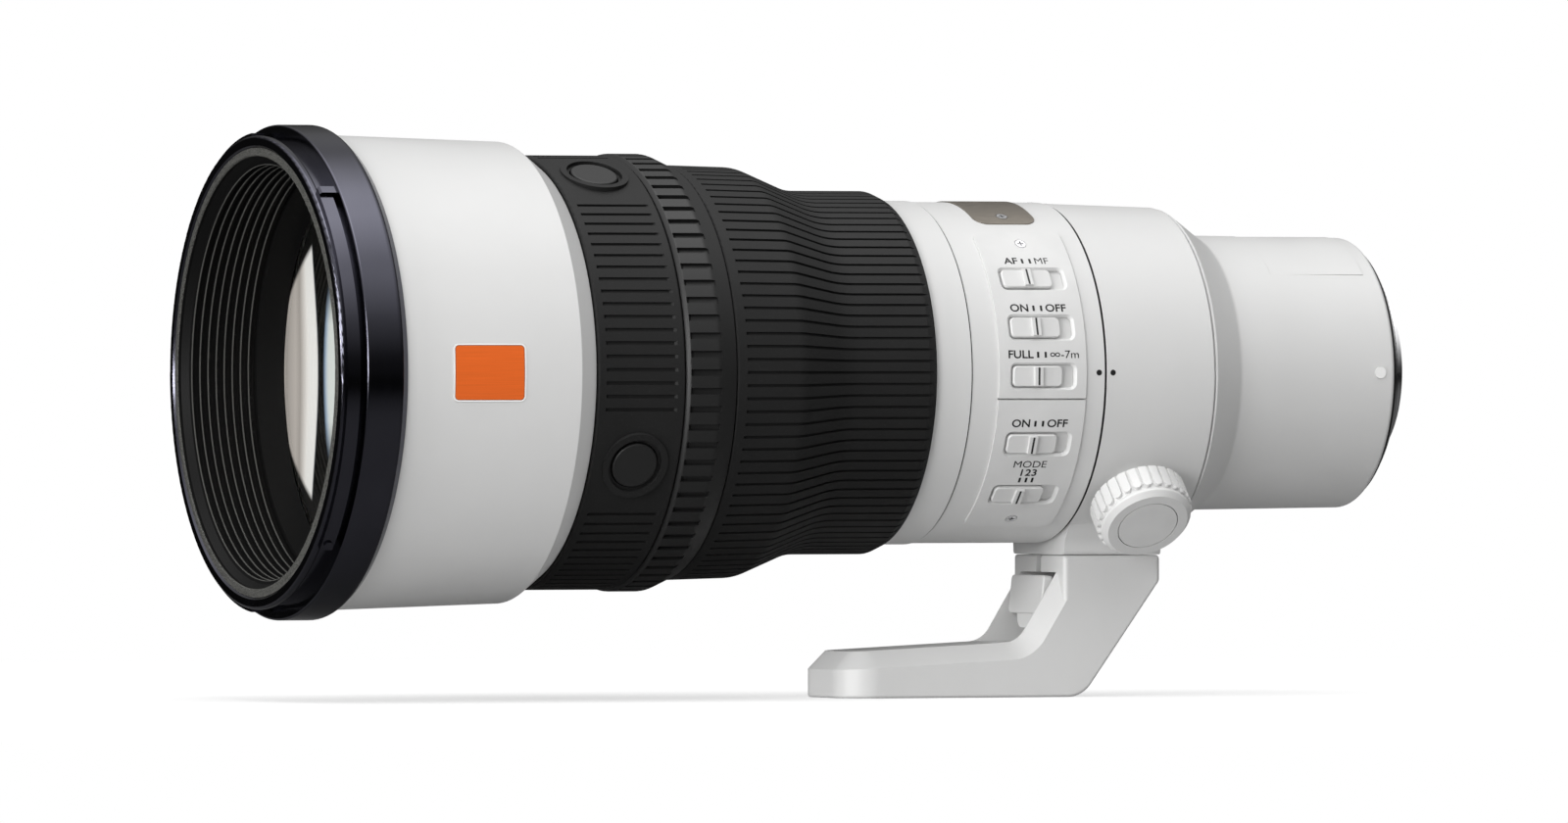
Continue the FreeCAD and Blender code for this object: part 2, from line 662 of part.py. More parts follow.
def hood_mount_ring():
    """Black ring at the front: the band, the hood bayonet and the spigot in the barrel."""
    spigot_end = FRONT_RING_LENGTH + FRONT_SPIGOT_LENGTH
    spigot = front_barrel_bore(spigot_end) - SEAT_CLEARANCE
    ring = turned(
        [
            (0, FRONT_RING_BORE + EDGE_ROUNDING),
            (0, BAYONET_LIP_RADIUS, BAYONET_LIP_ROUNDING),
            (BAYONET_LIP_LENGTH, BAYONET_LIP_RADIUS, BAYONET_LIP_ROUNDING),
            (BAYONET_LIP_LENGTH, BAYONET_GROOVE_RADIUS),
            (BAYONET_LENGTH, BAYONET_GROOVE_RADIUS),
            (BAYONET_LENGTH, FRONT_RING_RADIUS, EDGE_ROUNDING),
            (FRONT_RING_LENGTH - FRONT_BAND_BEVEL_LENGTH, FRONT_RING_RADIUS, FRONT_BAND_BEVEL),
            (FRONT_RING_LENGTH, FRONT_RING_REAR_RADIUS),
            (FRONT_RING_LENGTH, spigot),
            (spigot_end, spigot),
            (spigot_end, FRONT_RING_BORE),
            (EDGE_ROUNDING, FRONT_RING_BORE),
        ]
    )
    root = BAYONET_GROOVE_RADIUS - ROOT_DEPTH
    lug_end = HOOD_LUG_START + HOOD_LUG_LENGTH
    lug_corners = [
        (HOOD_LUG_START, root),
        (lug_end, root),
        (lug_end, HOOD_LUG_RADIUS),
        (HOOD_LUG_START, HOOD_LUG_RADIUS),
    ]
    lugs = []
    for place in angles(HOOD_LUG_COUNT):
        half = HOOD_FAR_LUG_ANGLE / 2 if place else HOOD_LUG_ANGLE / 2
        lugs.append(sector(lug_corners, place + half, place - half))
    stop_end = BAYONET_LENGTH + HOOD_STOP_OVERRUN
    stop = sector(
        [
            (HOOD_LUG_START, root),
            (stop_end, root),
            (stop_end, HOOD_STOP_RADIUS),
            (HOOD_LUG_START + EDGE_ROUNDING, HOOD_STOP_RADIUS),
            (HOOD_LUG_START, HOOD_STOP_RADIUS - EDGE_ROUNDING),
        ],
        HOOD_LUG_ANGLE / 2 + HOOD_STOP_ANGLE,
        HOOD_LUG_ANGLE / 2,
    )
    pin_back = HOOD_LUG_START + HOOD_LUG_LENGTH / 2
    pin_top = BAYONET_GROOVE_RADIUS + HOOD_PIN_RISE
    pin = radial_pin(pin_back, HOOD_PIN_RADIUS, root, pin_top, HOOD_PIN_ANGLE)
    return ring.fuse(lugs + [stop, pin]).removeSplitter()


def front_baffle():
    """Black tube in the mouth with fine ribs that stop stray light."""
    rib_end = BAFFLE_RIB_START + BAFFLE_RIB_PITCH * BAFFLE_RIB_COUNT
    outer = FRONT_RING_BORE - SEAT_CLEARANCE
    glass_rim = GLASS_START + FRONT_GLASS_SAG
    lip = BAFFLE_BORE + BAFFLE_LIP
    valley = BAFFLE_BORE + BAFFLE_RIB_DEPTH
    corners = [
        (BAFFLE_FACE_SLOPE, outer),
        (0, lip, BAFFLE_LIP_ROUNDING),
        (BAFFLE_LIP_LENGTH, lip),
        (BAFFLE_RIB_START, valley),
    ]
    for index in range(BAFFLE_RIB_COUNT):
        crest = BAFFLE_RIB_START + BAFFLE_RIB_PITCH * index + BAFFLE_RIB_RISE
        corners.append((crest, BAFFLE_BORE))
        corners.append((crest + BAFFLE_RIB_CREST, BAFFLE_BORE))
        corners.append((crest + BAFFLE_RIB_CREST + BAFFLE_RIB_RISE, valley))
        corners.append((crest + BAFFLE_RIB_PITCH - BAFFLE_RIB_RISE, valley))
    corners += [
        (rib_end + BAFFLE_END_RUN, BAFFLE_BORE - BAFFLE_END_RUN),
        (glass_rim - BAFFLE_REAR_GAP, BAFFLE_REAR_BORE),
        (glass_rim - BAFFLE_REAR_GAP, BAFFLE_REAR_BORE + BAFFLE_REAR_WALL),
        (rib_end + BAFFLE_END_RUN, BAFFLE_BORE + BAFFLE_REAR_WALL),
        (BAFFLE_SEAT_LENGTH, valley + BAFFLE_REAR_WALL),
        (BAFFLE_SEAT_LENGTH, outer),
    ]
    return turned(corners)


def front_element():
    """Large front glass."""
    rim = GLASS_START + FRONT_GLASS_SAG
    return lens_glass(rim, FRONT_GLASS_RADIUS, FRONT_GLASS_EDGE, FRONT_GLASS_SAG, -FRONT_GLASS_REAR_HOLLOW)


def front_cell():
    """Cell that holds the front glass and screws into the main tube."""
    rim = GLASS_START + FRONT_GLASS_SAG
    ledge = rim + FRONT_GLASS_EDGE + GLASS_CLEARANCE
    seat = FRONT_GLASS_RADIUS + GLASS_CLEARANCE
    cone_end = FRONT_BARREL_END - CELL_SPIGOT_LENGTH
    return turned(
        [
            (rim, seat),
            (ledge, seat),
            (ledge, seat - GLASS_LEDGE),
            (cone_end, CELL_SPIGOT_RADIUS - CELL_WALL),
            (FRONT_BARREL_END, CELL_SPIGOT_RADIUS - CELL_WALL),
            (FRONT_BARREL_END, CELL_SPIGOT_RADIUS),
            (cone_end, CELL_SPIGOT_RADIUS),
            (ledge + CELL_WALL, seat + CELL_WALL),
            (rim, seat + CELL_WALL),
        ]
    )


def front_barrel():
    """White shell between the front ring and the hold buttons, with its bevelled end."""
    bevel_start = FRONT_BARREL_END - FRONT_BEVEL_LENGTH
    flange_start = FRONT_BARREL_END - FRONT_FLANGE_THICKNESS
    shell = turned(
        [
            (FRONT_RING_LENGTH, front_barrel_bore(FRONT_RING_LENGTH)),
            (FRONT_RING_LENGTH, FRONT_BARREL_FRONT_RADIUS),
            (bevel_start, FRONT_BARREL_REAR_RADIUS, EDGE_ROUNDING),
            (FRONT_BARREL_END, FRONT_BEVEL_RADIUS),
            (FRONT_BARREL_END, FRONT_FLANGE_BORE),
            (flange_start, FRONT_FLANGE_BORE),
            (flange_start, FRONT_BEVEL_RADIUS - FRONT_BARREL_WALL),
            (bevel_start - FRONT_WALL_RUN, front_barrel_bore(bevel_start)),
        ]
    )
    return shell.cut(badge_shape(SEAT_CLEARANCE, BADGE_PROUD + CUT_REACH))


def badge_shape(margin, proud):
    """The plate on the front barrel, or with a margin the recess that it lies in."""
    start = BADGE_BACK - BADGE_LENGTH / 2 - margin
    end = BADGE_BACK + BADGE_LENGTH / 2 + margin
    floor = BADGE_DEPTH + margin
    half_angle = math.degrees((BADGE_WIDTH / 2 + margin) / front_barrel_radius(BADGE_BACK))
    skin = sector(
        [
            (start, front_barrel_radius(start) - floor),
            (end, front_barrel_radius(end) - floor),
            (end, front_barrel_radius(end) + proud),
            (start, front_barrel_radius(start) + proud),
        ],
        half_angle,
        -half_angle,
    )
    block = radial_block(
        BADGE_BACK,
        BADGE_LENGTH + 2 * margin,
        BADGE_WIDTH + 2 * margin,
        FRONT_BEVEL_RADIUS,
        FRONT_RING_RADIUS + CUT_REACH,
        0,
        BADGE_CORNER,
    )
    return skin.common(block)


def badge_plate():
    """Orange plate on the side of the front barrel."""
    return badge_shape(0, BADGE_PROUD)


def focus_profile(depth):
    """Corners of the focus ring's waisted outline, moved inwards by a depth."""
    shoulder = FOCUS_START + FOCUS_SHOULDER
    waist = shoulder + FOCUS_SLOPE_LENGTH
    return [
        (FOCUS_START, FOCUS_RADIUS - depth),
        (shoulder, FOCUS_SHOULDER_RADIUS - depth, FOCUS_SHOULDER_ROUNDING),
        (waist, FOCUS_WAIST_RADIUS - depth, FOCUS_WAIST_ROUNDING),
        (FOCUS_END - FOCUS_REAR_TAPER, FOCUS_WAIST_RADIUS - depth),
        (FOCUS_END, FOCUS_REAR_RADIUS - depth),
    ]


def main_tube():
    """The stepped tube that carries every ring, from the front barrel to the rear barrel."""
    second_glass = FUNCTION_START - SECOND_GLASS_EDGE
    third_glass = second_glass + SECOND_GLASS_EDGE + THIRD_GLASS_BEHIND
    profile = focus_profile(FOCUS_TUBE_DEPTH)
    land = COLLAR_LAND_RADIUS
    outside = [
        (FRONT_BARREL_END - CELL_SPIGOT_LENGTH + CELL_WALL, TUBE_FRONT_RADIUS),
        (FRONT_BARREL_END, TUBE_FRONT_RADIUS),
        (FRONT_BARREL_END, HOLD_SEAT_RADIUS),
        (HOLD_END, HOLD_SEAT_RADIUS),
        (HOLD_END, FUNCTION_LAND_RADIUS),
        (FUNCTION_END, FUNCTION_LAND_RADIUS),
        (FUNCTION_END, profile[0][1]),
        profile[1],
        profile[2],
        (FOCUS_END, profile[3][1]),
        (FOCUS_END, TRIM_RADIUS - FOCUS_RUBBER),
        (SWITCH_START, TRIM_RADIUS - FOCUS_RUBBER),
        (SWITCH_START, INNER_TUBE_RADIUS),
        (SWITCH_END - TUBE_END_WALL, INNER_TUBE_RADIUS),
        (SWITCH_END - TUBE_END_WALL, SWITCH_BORE - SEAT_CLEARANCE),
        (SWITCH_END, SWITCH_BORE - SEAT_CLEARANCE),
        (SWITCH_END, land),
        (COLLAR_END, land),
        (COLLAR_END + RING_GAP, TUBE_REAR_RADIUS),
        (TUBE_END, TUBE_REAR_RADIUS),
    ]
    front_bore = TUBE_FRONT_RADIUS - TUBE_WALL
    hold_bore = HOLD_SEAT_RADIUS - HOLD_WALL
    function_bore = profile[0][1] - TUBE_WALL
    shoulder_bore = profile[1][1] - TUBE_WALL
    waist_bore = profile[2][1] - TUBE_WALL
    end_wall = SWITCH_START - TUBE_END_WALL
    inside = [
        (TUBE_END, TUBE_REAR_RADIUS - TUBE_WALL),
        (COLLAR_END, TUBE_REAR_RADIUS - TUBE_WALL),
        (COLLAR_END, INNER_BORE),
        (end_wall, INNER_BORE),
        (end_wall, waist_bore),
        (waist_back(), waist_bore),
        (FOCUS_START + FOCUS_SHOULDER, shoulder_bore),
        (FUNCTION_END + TUBE_WALL, function_bore),
    ]
    inside += glass_ledge(third_glass, THIRD_GLASS_EDGE, THIRD_GLASS_RADIUS, function_bore, function_bore)
    inside += glass_ledge(second_glass, SECOND_GLASS_EDGE, SECOND_GLASS_RADIUS, hold_bore, function_bore)
    inside += [
        (HOLD_START + HOLD_WALL, hold_bore),
        (HOLD_START + HOLD_WALL, front_bore),
        (FRONT_BARREL_END - CELL_SPIGOT_LENGTH + CELL_WALL, front_bore),
    ]
    tube = turned(outside + inside)
    wells = []
    for place in angles(HOLD_BUTTON_COUNT, HOLD_BUTTON_ANGLE):
        wells.append(button_well(place))
    return tube.cut(wells)


def glass_ledge(start, edge, radius, bore_ahead, bore_behind):
    """Inner corners, from the rear, of a flange in the tube with the seat of a glass."""
    rear = start + edge + GLASS_CLEARANCE
    seat = radius + GLASS_CLEARANCE
    rim = seat + GLASS_FLANGE
    return [
        (rear + GLASS_FLANGE, bore_behind),
        (rear + GLASS_FLANGE, radius - GLASS_LEDGE),
        (rear + LEDGE_BEVEL, radius - GLASS_LEDGE),
        (rear, seat),
        (start - UNIT_GAP, seat),
        (start - UNIT_GAP, rim),
        (rear, rim),
        (rear, bore_ahead),
    ]


def waist_back():
    """Where the focus ring's waist begins."""
    return FOCUS_START + FOCUS_SHOULDER + FOCUS_SLOPE_LENGTH


def button_back():
    """Where the hold buttons stand along the axis."""
    return HOLD_START + HOLD_LENGTH / 2


def button_well(angle):
    """The space in the main tube for one hold button and its stem."""
    well = radial_pin(
        button_back(),
        HOLD_BUTTON_RADIUS + SLIDE_CLEARANCE,
        HOLD_SEAT_RADIUS - BUTTON_WELL_DEPTH,
        HOLD_RADIUS,
        angle,
    )
    stem_hole = radial_pin(
        button_back(),
        HOLD_STEM_RADIUS + SLIDE_CLEARANCE,
        HOLD_SEAT_RADIUS - BUTTON_WELL_DEPTH - HOLD_STEM_LENGTH - HOLD_BUTTON_TRAVEL,
        HOLD_RADIUS,
        angle,
    )
    return well.fuse(stem_hole)


def second_element():
    """Second glass, on a ledge in the main tube."""
    start = FUNCTION_START - SECOND_GLASS_EDGE
    return lens_glass(start, SECOND_GLASS_RADIUS, SECOND_GLASS_EDGE, SECOND_GLASS_BULGE, SECOND_GLASS_BULGE)


def third_element():
    """Third glass, on its own ledge behind the second."""
    start = FUNCTION_START + THIRD_GLASS_BEHIND
    return lens_glass(start, THIRD_GLASS_RADIUS, THIRD_GLASS_EDGE, THIRD_GLASS_BULGE, -THIRD_GLASS_BULGE)


def hold_grip():
    """Rubber sleeve with ribs, smooth pads and a raised lip round each hold button."""
    sleeve = turned(
        [
            (HOLD_START, HOLD_SEAT_RADIUS + SEAT_CLEARANCE),
            (HOLD_START, HOLD_RADIUS, EDGE_ROUNDING),
            (HOLD_END, HOLD_RADIUS, EDGE_ROUNDING),
            (HOLD_END, HOLD_SEAT_RADIUS + SEAT_CLEARANCE),
        ]
    )
    pads = angles(HOLD_BUTTON_COUNT, HOLD_BUTTON_ANGLE)
    span = FULL_TURN / HOLD_BUTTON_COUNT - HOLD_PAD_ANGLE
    ribs = int(span / HOLD_RIB_PITCH)
    places = []
    for pad in pads:
        first = pad + HOLD_PAD_ANGLE / 2 + (span - ribs * HOLD_RIB_PITCH) / 2
        for index in range(ribs + 1):
            places.append(first + index * HOLD_RIB_PITCH)
    floor = HOLD_RADIUS - HOLD_GROOVE_DEPTH
    start = HOLD_START + HOLD_RIB_INSET
    end = HOLD_END - HOLD_RIB_INSET
    cutter = sector(
        [
            (start + HOLD_GROOVE_DEPTH, floor),
            (end - HOLD_GROOVE_DEPTH, floor),
            (end + HOLD_GROOVE_DEPTH, HOLD_RADIUS + HOLD_GROOVE_DEPTH),
            (start - HOLD_GROOVE_DEPTH, HOLD_RADIUS + HOLD_GROOVE_DEPTH),
        ],
        TOP_ANGLE + HOLD_GROOVE_ANGLE / 2,
        TOP_ANGLE - HOLD_GROOVE_ANGLE / 2,
    )
    sleeve = grooved(sleeve, cutter, places)
    lips = []
    holes = []
    for pad in pads:
        lip_low = HOLD_SEAT_RADIUS + ROOT_DEPTH
        lip = radial_pin(button_back(), HOLD_LIP_RADIUS, lip_low, HOLD_RADIUS + HOLD_LIP_HEIGHT, pad)
        dish = radial_pin(
            button_back(),
            HOLD_LIP_RADIUS - HOLD_LIP_WIDTH,
            HOLD_RADIUS - HOLD_LIP_HEIGHT,
            HOLD_RADIUS + CUT_REACH,
            pad,
        )
        hole = radial_pin(
            button_back(),
            HOLD_BUTTON_RADIUS + SLIDE_CLEARANCE,
            HOLD_SEAT_RADIUS - CUT_REACH,
            HOLD_RADIUS + CUT_REACH,
            pad,
        )
        lips.append(lip)
        holes += [dish, hole]
    return sleeve.fuse(lips).cut(holes)


def hold_button(angle):
    """One focus hold button with its stem."""
    top = HOLD_RADIUS + HOLD_BUTTON_PROUD
    head = radial_pin(button_back(), HOLD_BUTTON_RADIUS, top - HOLD_BUTTON_HEAD, top, TOP_ANGLE)
    rim = [edge for edge in head.Edges if edge.BoundBox.ZMin > AXIS_HEIGHT + top - SAME_PLACE]
    head = head.makeFillet(EDGE_ROUNDING, rim)
    stem_low = HOLD_SEAT_RADIUS - BUTTON_WELL_DEPTH - HOLD_STEM_LENGTH
    stem = radial_pin(button_back(), HOLD_STEM_RADIUS, stem_low, top - HOLD_BUTTON_HEAD / 2, TOP_ANGLE)
    return at_angle(head.fuse(stem), angle)


def function_ring():
    """Narrow control ring with coarse ribs and a smooth cone behind them."""
    rib_start = FUNCTION_START + FUNCTION_RIB_START
    rib_end = rib_start + FUNCTION_RIB_LENGTH
    ring = turned(
        [
            (FUNCTION_START, FUNCTION_BORE),
            (FUNCTION_START, FUNCTION_RADIUS - FUNCTION_FRONT_BEVEL),
            (rib_start, FUNCTION_RADIUS, EDGE_ROUNDING),
            (rib_end, FUNCTION_RADIUS, FUNCTION_CONE_ROUNDING),
            (FUNCTION_END, FUNCTION_REAR_RADIUS, EDGE_ROUNDING),
            (FUNCTION_END, FUNCTION_BORE),
        ]
    )
    floor = FUNCTION_RADIUS - FUNCTION_GROOVE_DEPTH
    cutter = sector(
        [
            (rib_start + FUNCTION_GROOVE_DEPTH, floor),
            (rib_end + FUNCTION_GROOVE_DEPTH, floor),
            (rib_end + FUNCTION_GROOVE_DEPTH, FUNCTION_RADIUS + CUT_REACH),
            (rib_start - FUNCTION_GROOVE_DEPTH, FUNCTION_RADIUS + CUT_REACH),
        ],
        TOP_ANGLE + FUNCTION_GROOVE_ANGLE / 2,
        TOP_ANGLE - FUNCTION_GROOVE_ANGLE / 2,
    )
    return grooved(ring, cutter, angles(FUNCTION_RIB_COUNT))


def focus_ring_sleeve():
    """Metal sleeve of the focus ring, which turns on the main tube."""
    outer = focus_profile(FOCUS_RUBBER + SEAT_CLEARANCE)
    inner = focus_profile(FOCUS_SLEEVE_DEPTH)
    inner.reverse()
    return turned(outer[:4] + [(FOCUS_END, outer[3][1]), (FOCUS_END, inner[1][1])] + inner[1:])


def focus_grip():
    """Rubber grip of the focus ring, grooved all round."""
    outer = focus_profile(0)
    inner = focus_profile(FOCUS_RUBBER)
    inner.reverse()
    first = (FOCUS_START, FOCUS_RADIUS, EDGE_ROUNDING)
    grip = turned([first] + outer[1:] + [(FOCUS_END, inner[1][1])] + inner[1:])
    over = focus_profile(-FOCUS_CUT_RISE)
    under = focus_profile(FOCUS_GROOVE_DEPTH)
    under.reverse()
    lip = FOCUS_START + FOCUS_LIP
    top = [(lip - FOCUS_CUT_RISE, over[0][1])] + over[1:4] + [(FOCUS_END + CUT_REACH, over[3][1])]
    floor = [(FOCUS_END + CUT_REACH, under[1][1])] + under[1:4] + [(lip + ROOT_DEPTH, under[4][1])]
    half = FOCUS_GROOVE_ANGLE / 2
    cutter = sector(top + floor, TOP_ANGLE + half, TOP_ANGLE - half)
    return grooved(grip, cutter, angles(FOCUS_GROOVE_COUNT))


def trim_ring():
    """Bright ring behind the focus grip."""
    bore = TRIM_RADIUS - FOCUS_RUBBER + SEAT_CLEARANCE
    return turned(
        [
            (TRIM_START, bore),
            (TRIM_START, TRIM_RADIUS, EDGE_ROUNDING),
            (TRIM_END - SEAM_GROOVE_WIDTH, TRIM_RADIUS),
            (TRIM_END - SEAM_GROOVE_WIDTH, TRIM_RADIUS - SEAM_GROOVE_DEPTH),
            (TRIM_END, TRIM_RADIUS - SEAM_GROOVE_DEPTH),
            (TRIM_END, bore),
        ]
    )


def switch_barrel():
    """White shell with the seats of the switch plates and the name plate."""
    radius = SWITCH_BARREL_RADIUS
    shell = turned(
        [
            (SWITCH_START, SWITCH_BORE),
            (SWITCH_START, radius - SEAM_CHAMFER),
            (SWITCH_START + SEAM_CHAMFER, radius),
            (SWITCH_END - SEAM_CHAMFER, radius),
            (SWITCH_END, radius - SEAM_CHAMFER),
            (SWITCH_END, SWITCH_BORE),
        ]
    )
    margin = SEAT_CLEARANCE
    angle_margin = math.degrees(margin / radius)
    cutters = [
        band(
            PLATE_START - margin,
            PLATE_START + PLATE_LENGTH + margin,
            PLATE_SEAT_RADIUS - margin,
            radius + CUT_REACH,
            PLATE_TOP_ANGLE + angle_margin,
            PLATE_LOW_ANGLE - angle_margin,
            PLATE_CORNER,
        ),
        band(
            NAME_PLATE_MIDDLE - NAME_PLATE_LENGTH / 2 - margin,
            NAME_PLATE_MIDDLE + NAME_PLATE_LENGTH / 2 + margin,
            name_seat_radius() - margin,
            radius + CUT_REACH,
            TOP_ANGLE + NAME_PLATE_ANGLE / 2 + angle_margin,
            TOP_ANGLE - NAME_PLATE_ANGLE / 2 - angle_margin,
            NAME_PLATE_CORNER,
        ),
    ]
    for angle in SWITCH_ANGLES.values():
        cutters.append(
            radial_block(
                knob_middle() + KNOB_TRAVEL / 2,
                KNOB_STEM_LENGTH + KNOB_TRAVEL + 2 * KNOB_END_CLEARANCE,
                KNOB_STEM_WIDTH + 2 * SLIDE_CLEARANCE,
                INNER_TUBE_RADIUS,
                radius + CUT_REACH,
                angle,
            )
        )
    for back, angle, top in screw_places():
        low = SWITCH_BORE - CUT_REACH
        cutters.append(radial_pin(back, SCREW_SHANK_RADIUS + SEAT_CLEARANCE, low, top, angle))
    return shell.cut(cutters)


def name_seat_radius():
    """Radius of the floor that the name plate lies on."""
    return SWITCH_BARREL_RADIUS + NAME_PLATE_PROUD - NAME_PLATE_THICKNESS


def knob_middle():
    """Middle of a switch knob at rest, at the front end of its window."""
    return PLATE_MIDDLE - WINDOW_LENGTH / 2 + KNOB_END_CLEARANCE + KNOB_LENGTH / 2


def screw_places():
    """Back, angle and top radius of each small screw."""
    plate_top = SWITCH_BARREL_RADIUS + PLATE_PROUD
    name_top = SWITCH_BARREL_RADIUS + NAME_PLATE_PROUD
    reach = NAME_PLATE_ANGLE / 2 - NAME_SCREW_INSET_ANGLE
    return [
        (PLATE_MIDDLE, UPPER_SCREW_ANGLE, plate_top),
        (PLATE_MIDDLE, LOWER_SCREW_ANGLE, plate_top),
        (NAME_PLATE_MIDDLE, TOP_ANGLE + reach, name_top),
        (NAME_PLATE_MIDDLE, TOP_ANGLE - reach, name_top),
    ]


def screw_hole(back, angle, top):
    """Countersunk hole for a small screw in a plate."""
    floor = top - SCREW_HEAD_THICKNESS
    over = top + CUT_REACH
    head = radial_pin(back, SCREW_HEAD_RADIUS + SCREW_HEAD_GAP, floor, over, angle)
    low = floor - SCREW_SHANK_LENGTH
    shank = radial_pin(back, SCREW_SHANK_RADIUS + SEAT_CLEARANCE, low, over, angle)
    return head.fuse(shank)


def window_cutter(angle):
    """Cuts one switch window: a straight slot with a bevelled rim."""
    top = SWITCH_BARREL_RADIUS + PLATE_PROUD
    slot = radial_block(
        PLATE_MIDDLE, WINDOW_LENGTH, WINDOW_WIDTH, INNER_TUBE_RADIUS, top + CUT_REACH, angle, WINDOW_CORNER
    )
    rims = []
    for rise in (-WINDOW_BEVEL, CUT_REACH):
        spread = WINDOW_BEVEL + rise
        half_length = WINDOW_LENGTH / 2 + spread
        half_width = WINDOW_WIDTH / 2 + spread
        corner = WINDOW_CORNER + spread

        def over_plate(along, across):
            return above_axis(PLATE_MIDDLE + along, top + rise) + Y_AXIS * across

        outline = [
            (-half_length, -half_width, corner),
            (half_length, -half_width, corner),
            (half_length, half_width, corner),
            (-half_length, half_width, corner),
        ]
        rims.append(closed_wire(outline, over_plate))
    return slot.fuse(at_angle(Part.makeLoft(rims, True, True), angle))


def switch_plate(upper, lower):
    """One curved plate of the switch panel with its windows and its screw hole."""
    plate = band(
        PLATE_START,
        PLATE_START + PLATE_LENGTH,
        PLATE_SEAT_RADIUS,
        SWITCH_BARREL_RADIUS + PLATE_PROUD,
        upper,
        lower,
    )
    ends = [upper] if upper == PLATE_TOP_ANGLE else [lower]
    corners = []
    for edge in plate.Edges:
        middle = at_angle(Part.Vertex(edge.CenterOfMass), 2 * TOP_ANGLE - ends[0]).Point
        radial = abs(edge.Length - PLATE_THICKNESS) < SAME_PLACE
        if radial and abs(middle.y) < PLATE_CORNER:
            corners.append(edge)
    plate = plate.makeFillet(PLATE_CORNER, corners)
    top = SWITCH_BARREL_RADIUS + PLATE_PROUD
    end = PLATE_START + PLATE_LENGTH
    bevel = turned(
        [
            (end - PLATE_BEVEL, top),
            (end, top - PLATE_BEVEL),
            (end + CUT_REACH, top - PLATE_BEVEL),
            (end + CUT_REACH, top + CUT_REACH),
            (end - PLATE_BEVEL, top + CUT_REACH),
        ]
    )
    cutters = [window_cutter(angle) for angle in SWITCH_ANGLES.values()] + [bevel]
    for back, angle, top in screw_places()[:2]:
        cutters.append(screw_hole(back, angle, top))
    return plate.cut(cutters)


def switch_knob(angle):
    """Slide switch: a flat knob with a ridge across it and a stem through the barrel."""
    top = SWITCH_BARREL_RADIUS + PLATE_PROUD + KNOB_PROUD
    low = PLATE_SEAT_RADIUS + SLIDE_CLEARANCE
    middle = knob_middle()
    knob = radial_block(middle, KNOB_LENGTH, KNOB_WIDTH, low, top, TOP_ANGLE, WINDOW_CORNER)
    rim = [edge for edge in knob.Edges if edge.BoundBox.ZMin > AXIS_HEIGHT + top - SAME_PLACE]
    knob = knob.makeChamfer(EDGE_ROUNDING / 2, rim)
    ridge_width = KNOB_WIDTH - EDGE_ROUNDING
    ridge_top = top + KNOB_RIDGE_HEIGHT
    ridge = radial_block(
        middle, KNOB_RIDGE_LENGTH, ridge_width, top - ROOT_DEPTH, ridge_top, TOP_ANGLE
    )
    stem_low = SWITCH_BORE - KNOB_STEM_REACH
    stem = radial_block(
        middle, KNOB_STEM_LENGTH, KNOB_STEM_WIDTH, stem_low, low + ROOT_DEPTH, TOP_ANGLE
    )
    return at_angle(knob.fuse([ridge, stem]).removeSplitter(), angle)


def panel_screws():
    """Small cross-head screws of the switch plates and the name plate."""
    screws = []
    for back, angle, top in screw_places():
        head = radial_pin(back, SCREW_HEAD_RADIUS, top - SCREW_HEAD_THICKNESS, top, TOP_ANGLE)
        floor = top - SCREW_HEAD_THICKNESS
        shank = radial_pin(back, SCREW_SHANK_RADIUS, floor - SCREW_SHANK_LENGTH, floor, TOP_ANGLE)
        low = top - SCREW_CROSS_DEPTH
        over = top + CUT_REACH
        long_slot = radial_block(back, SCREW_CROSS_LENGTH, SCREW_CROSS_WIDTH, low, over, TOP_ANGLE)
        wide_slot = radial_block(back, SCREW_CROSS_WIDTH, SCREW_CROSS_LENGTH, low, over, TOP_ANGLE)
        screws.append(at_angle(head.fuse(shank).cut([long_slot, wide_slot]), angle))
    return Part.makeCompound(screws)


def name_plate():
    """Bare bronze plate on top of the switch barrel."""
    plate = band(
        NAME_PLATE_MIDDLE - NAME_PLATE_LENGTH / 2,
        NAME_PLATE_MIDDLE + NAME_PLATE_LENGTH / 2,
        name_seat_radius(),
        SWITCH_BARREL_RADIUS + NAME_PLATE_PROUD,
        TOP_ANGLE + NAME_PLATE_ANGLE / 2,
        TOP_ANGLE - NAME_PLATE_ANGLE / 2,
        NAME_PLATE_CORNER,
    )
    return plate.cut([screw_hole(*place) for place in screw_places()[2:]])


def circuit_board():
    """Open ring of circuit board round the inner tube."""
    end = SWITCH_END - TUBE_END_WALL - UNIT_GAP
    start = end - BOARD_THICKNESS
    inner = INNER_TUBE_RADIUS + SEAT_CLEARANCE
    return band(start, end, inner, inner + BOARD_WIDTH, BOARD_ANGLE / 2, -BOARD_ANGLE / 2)


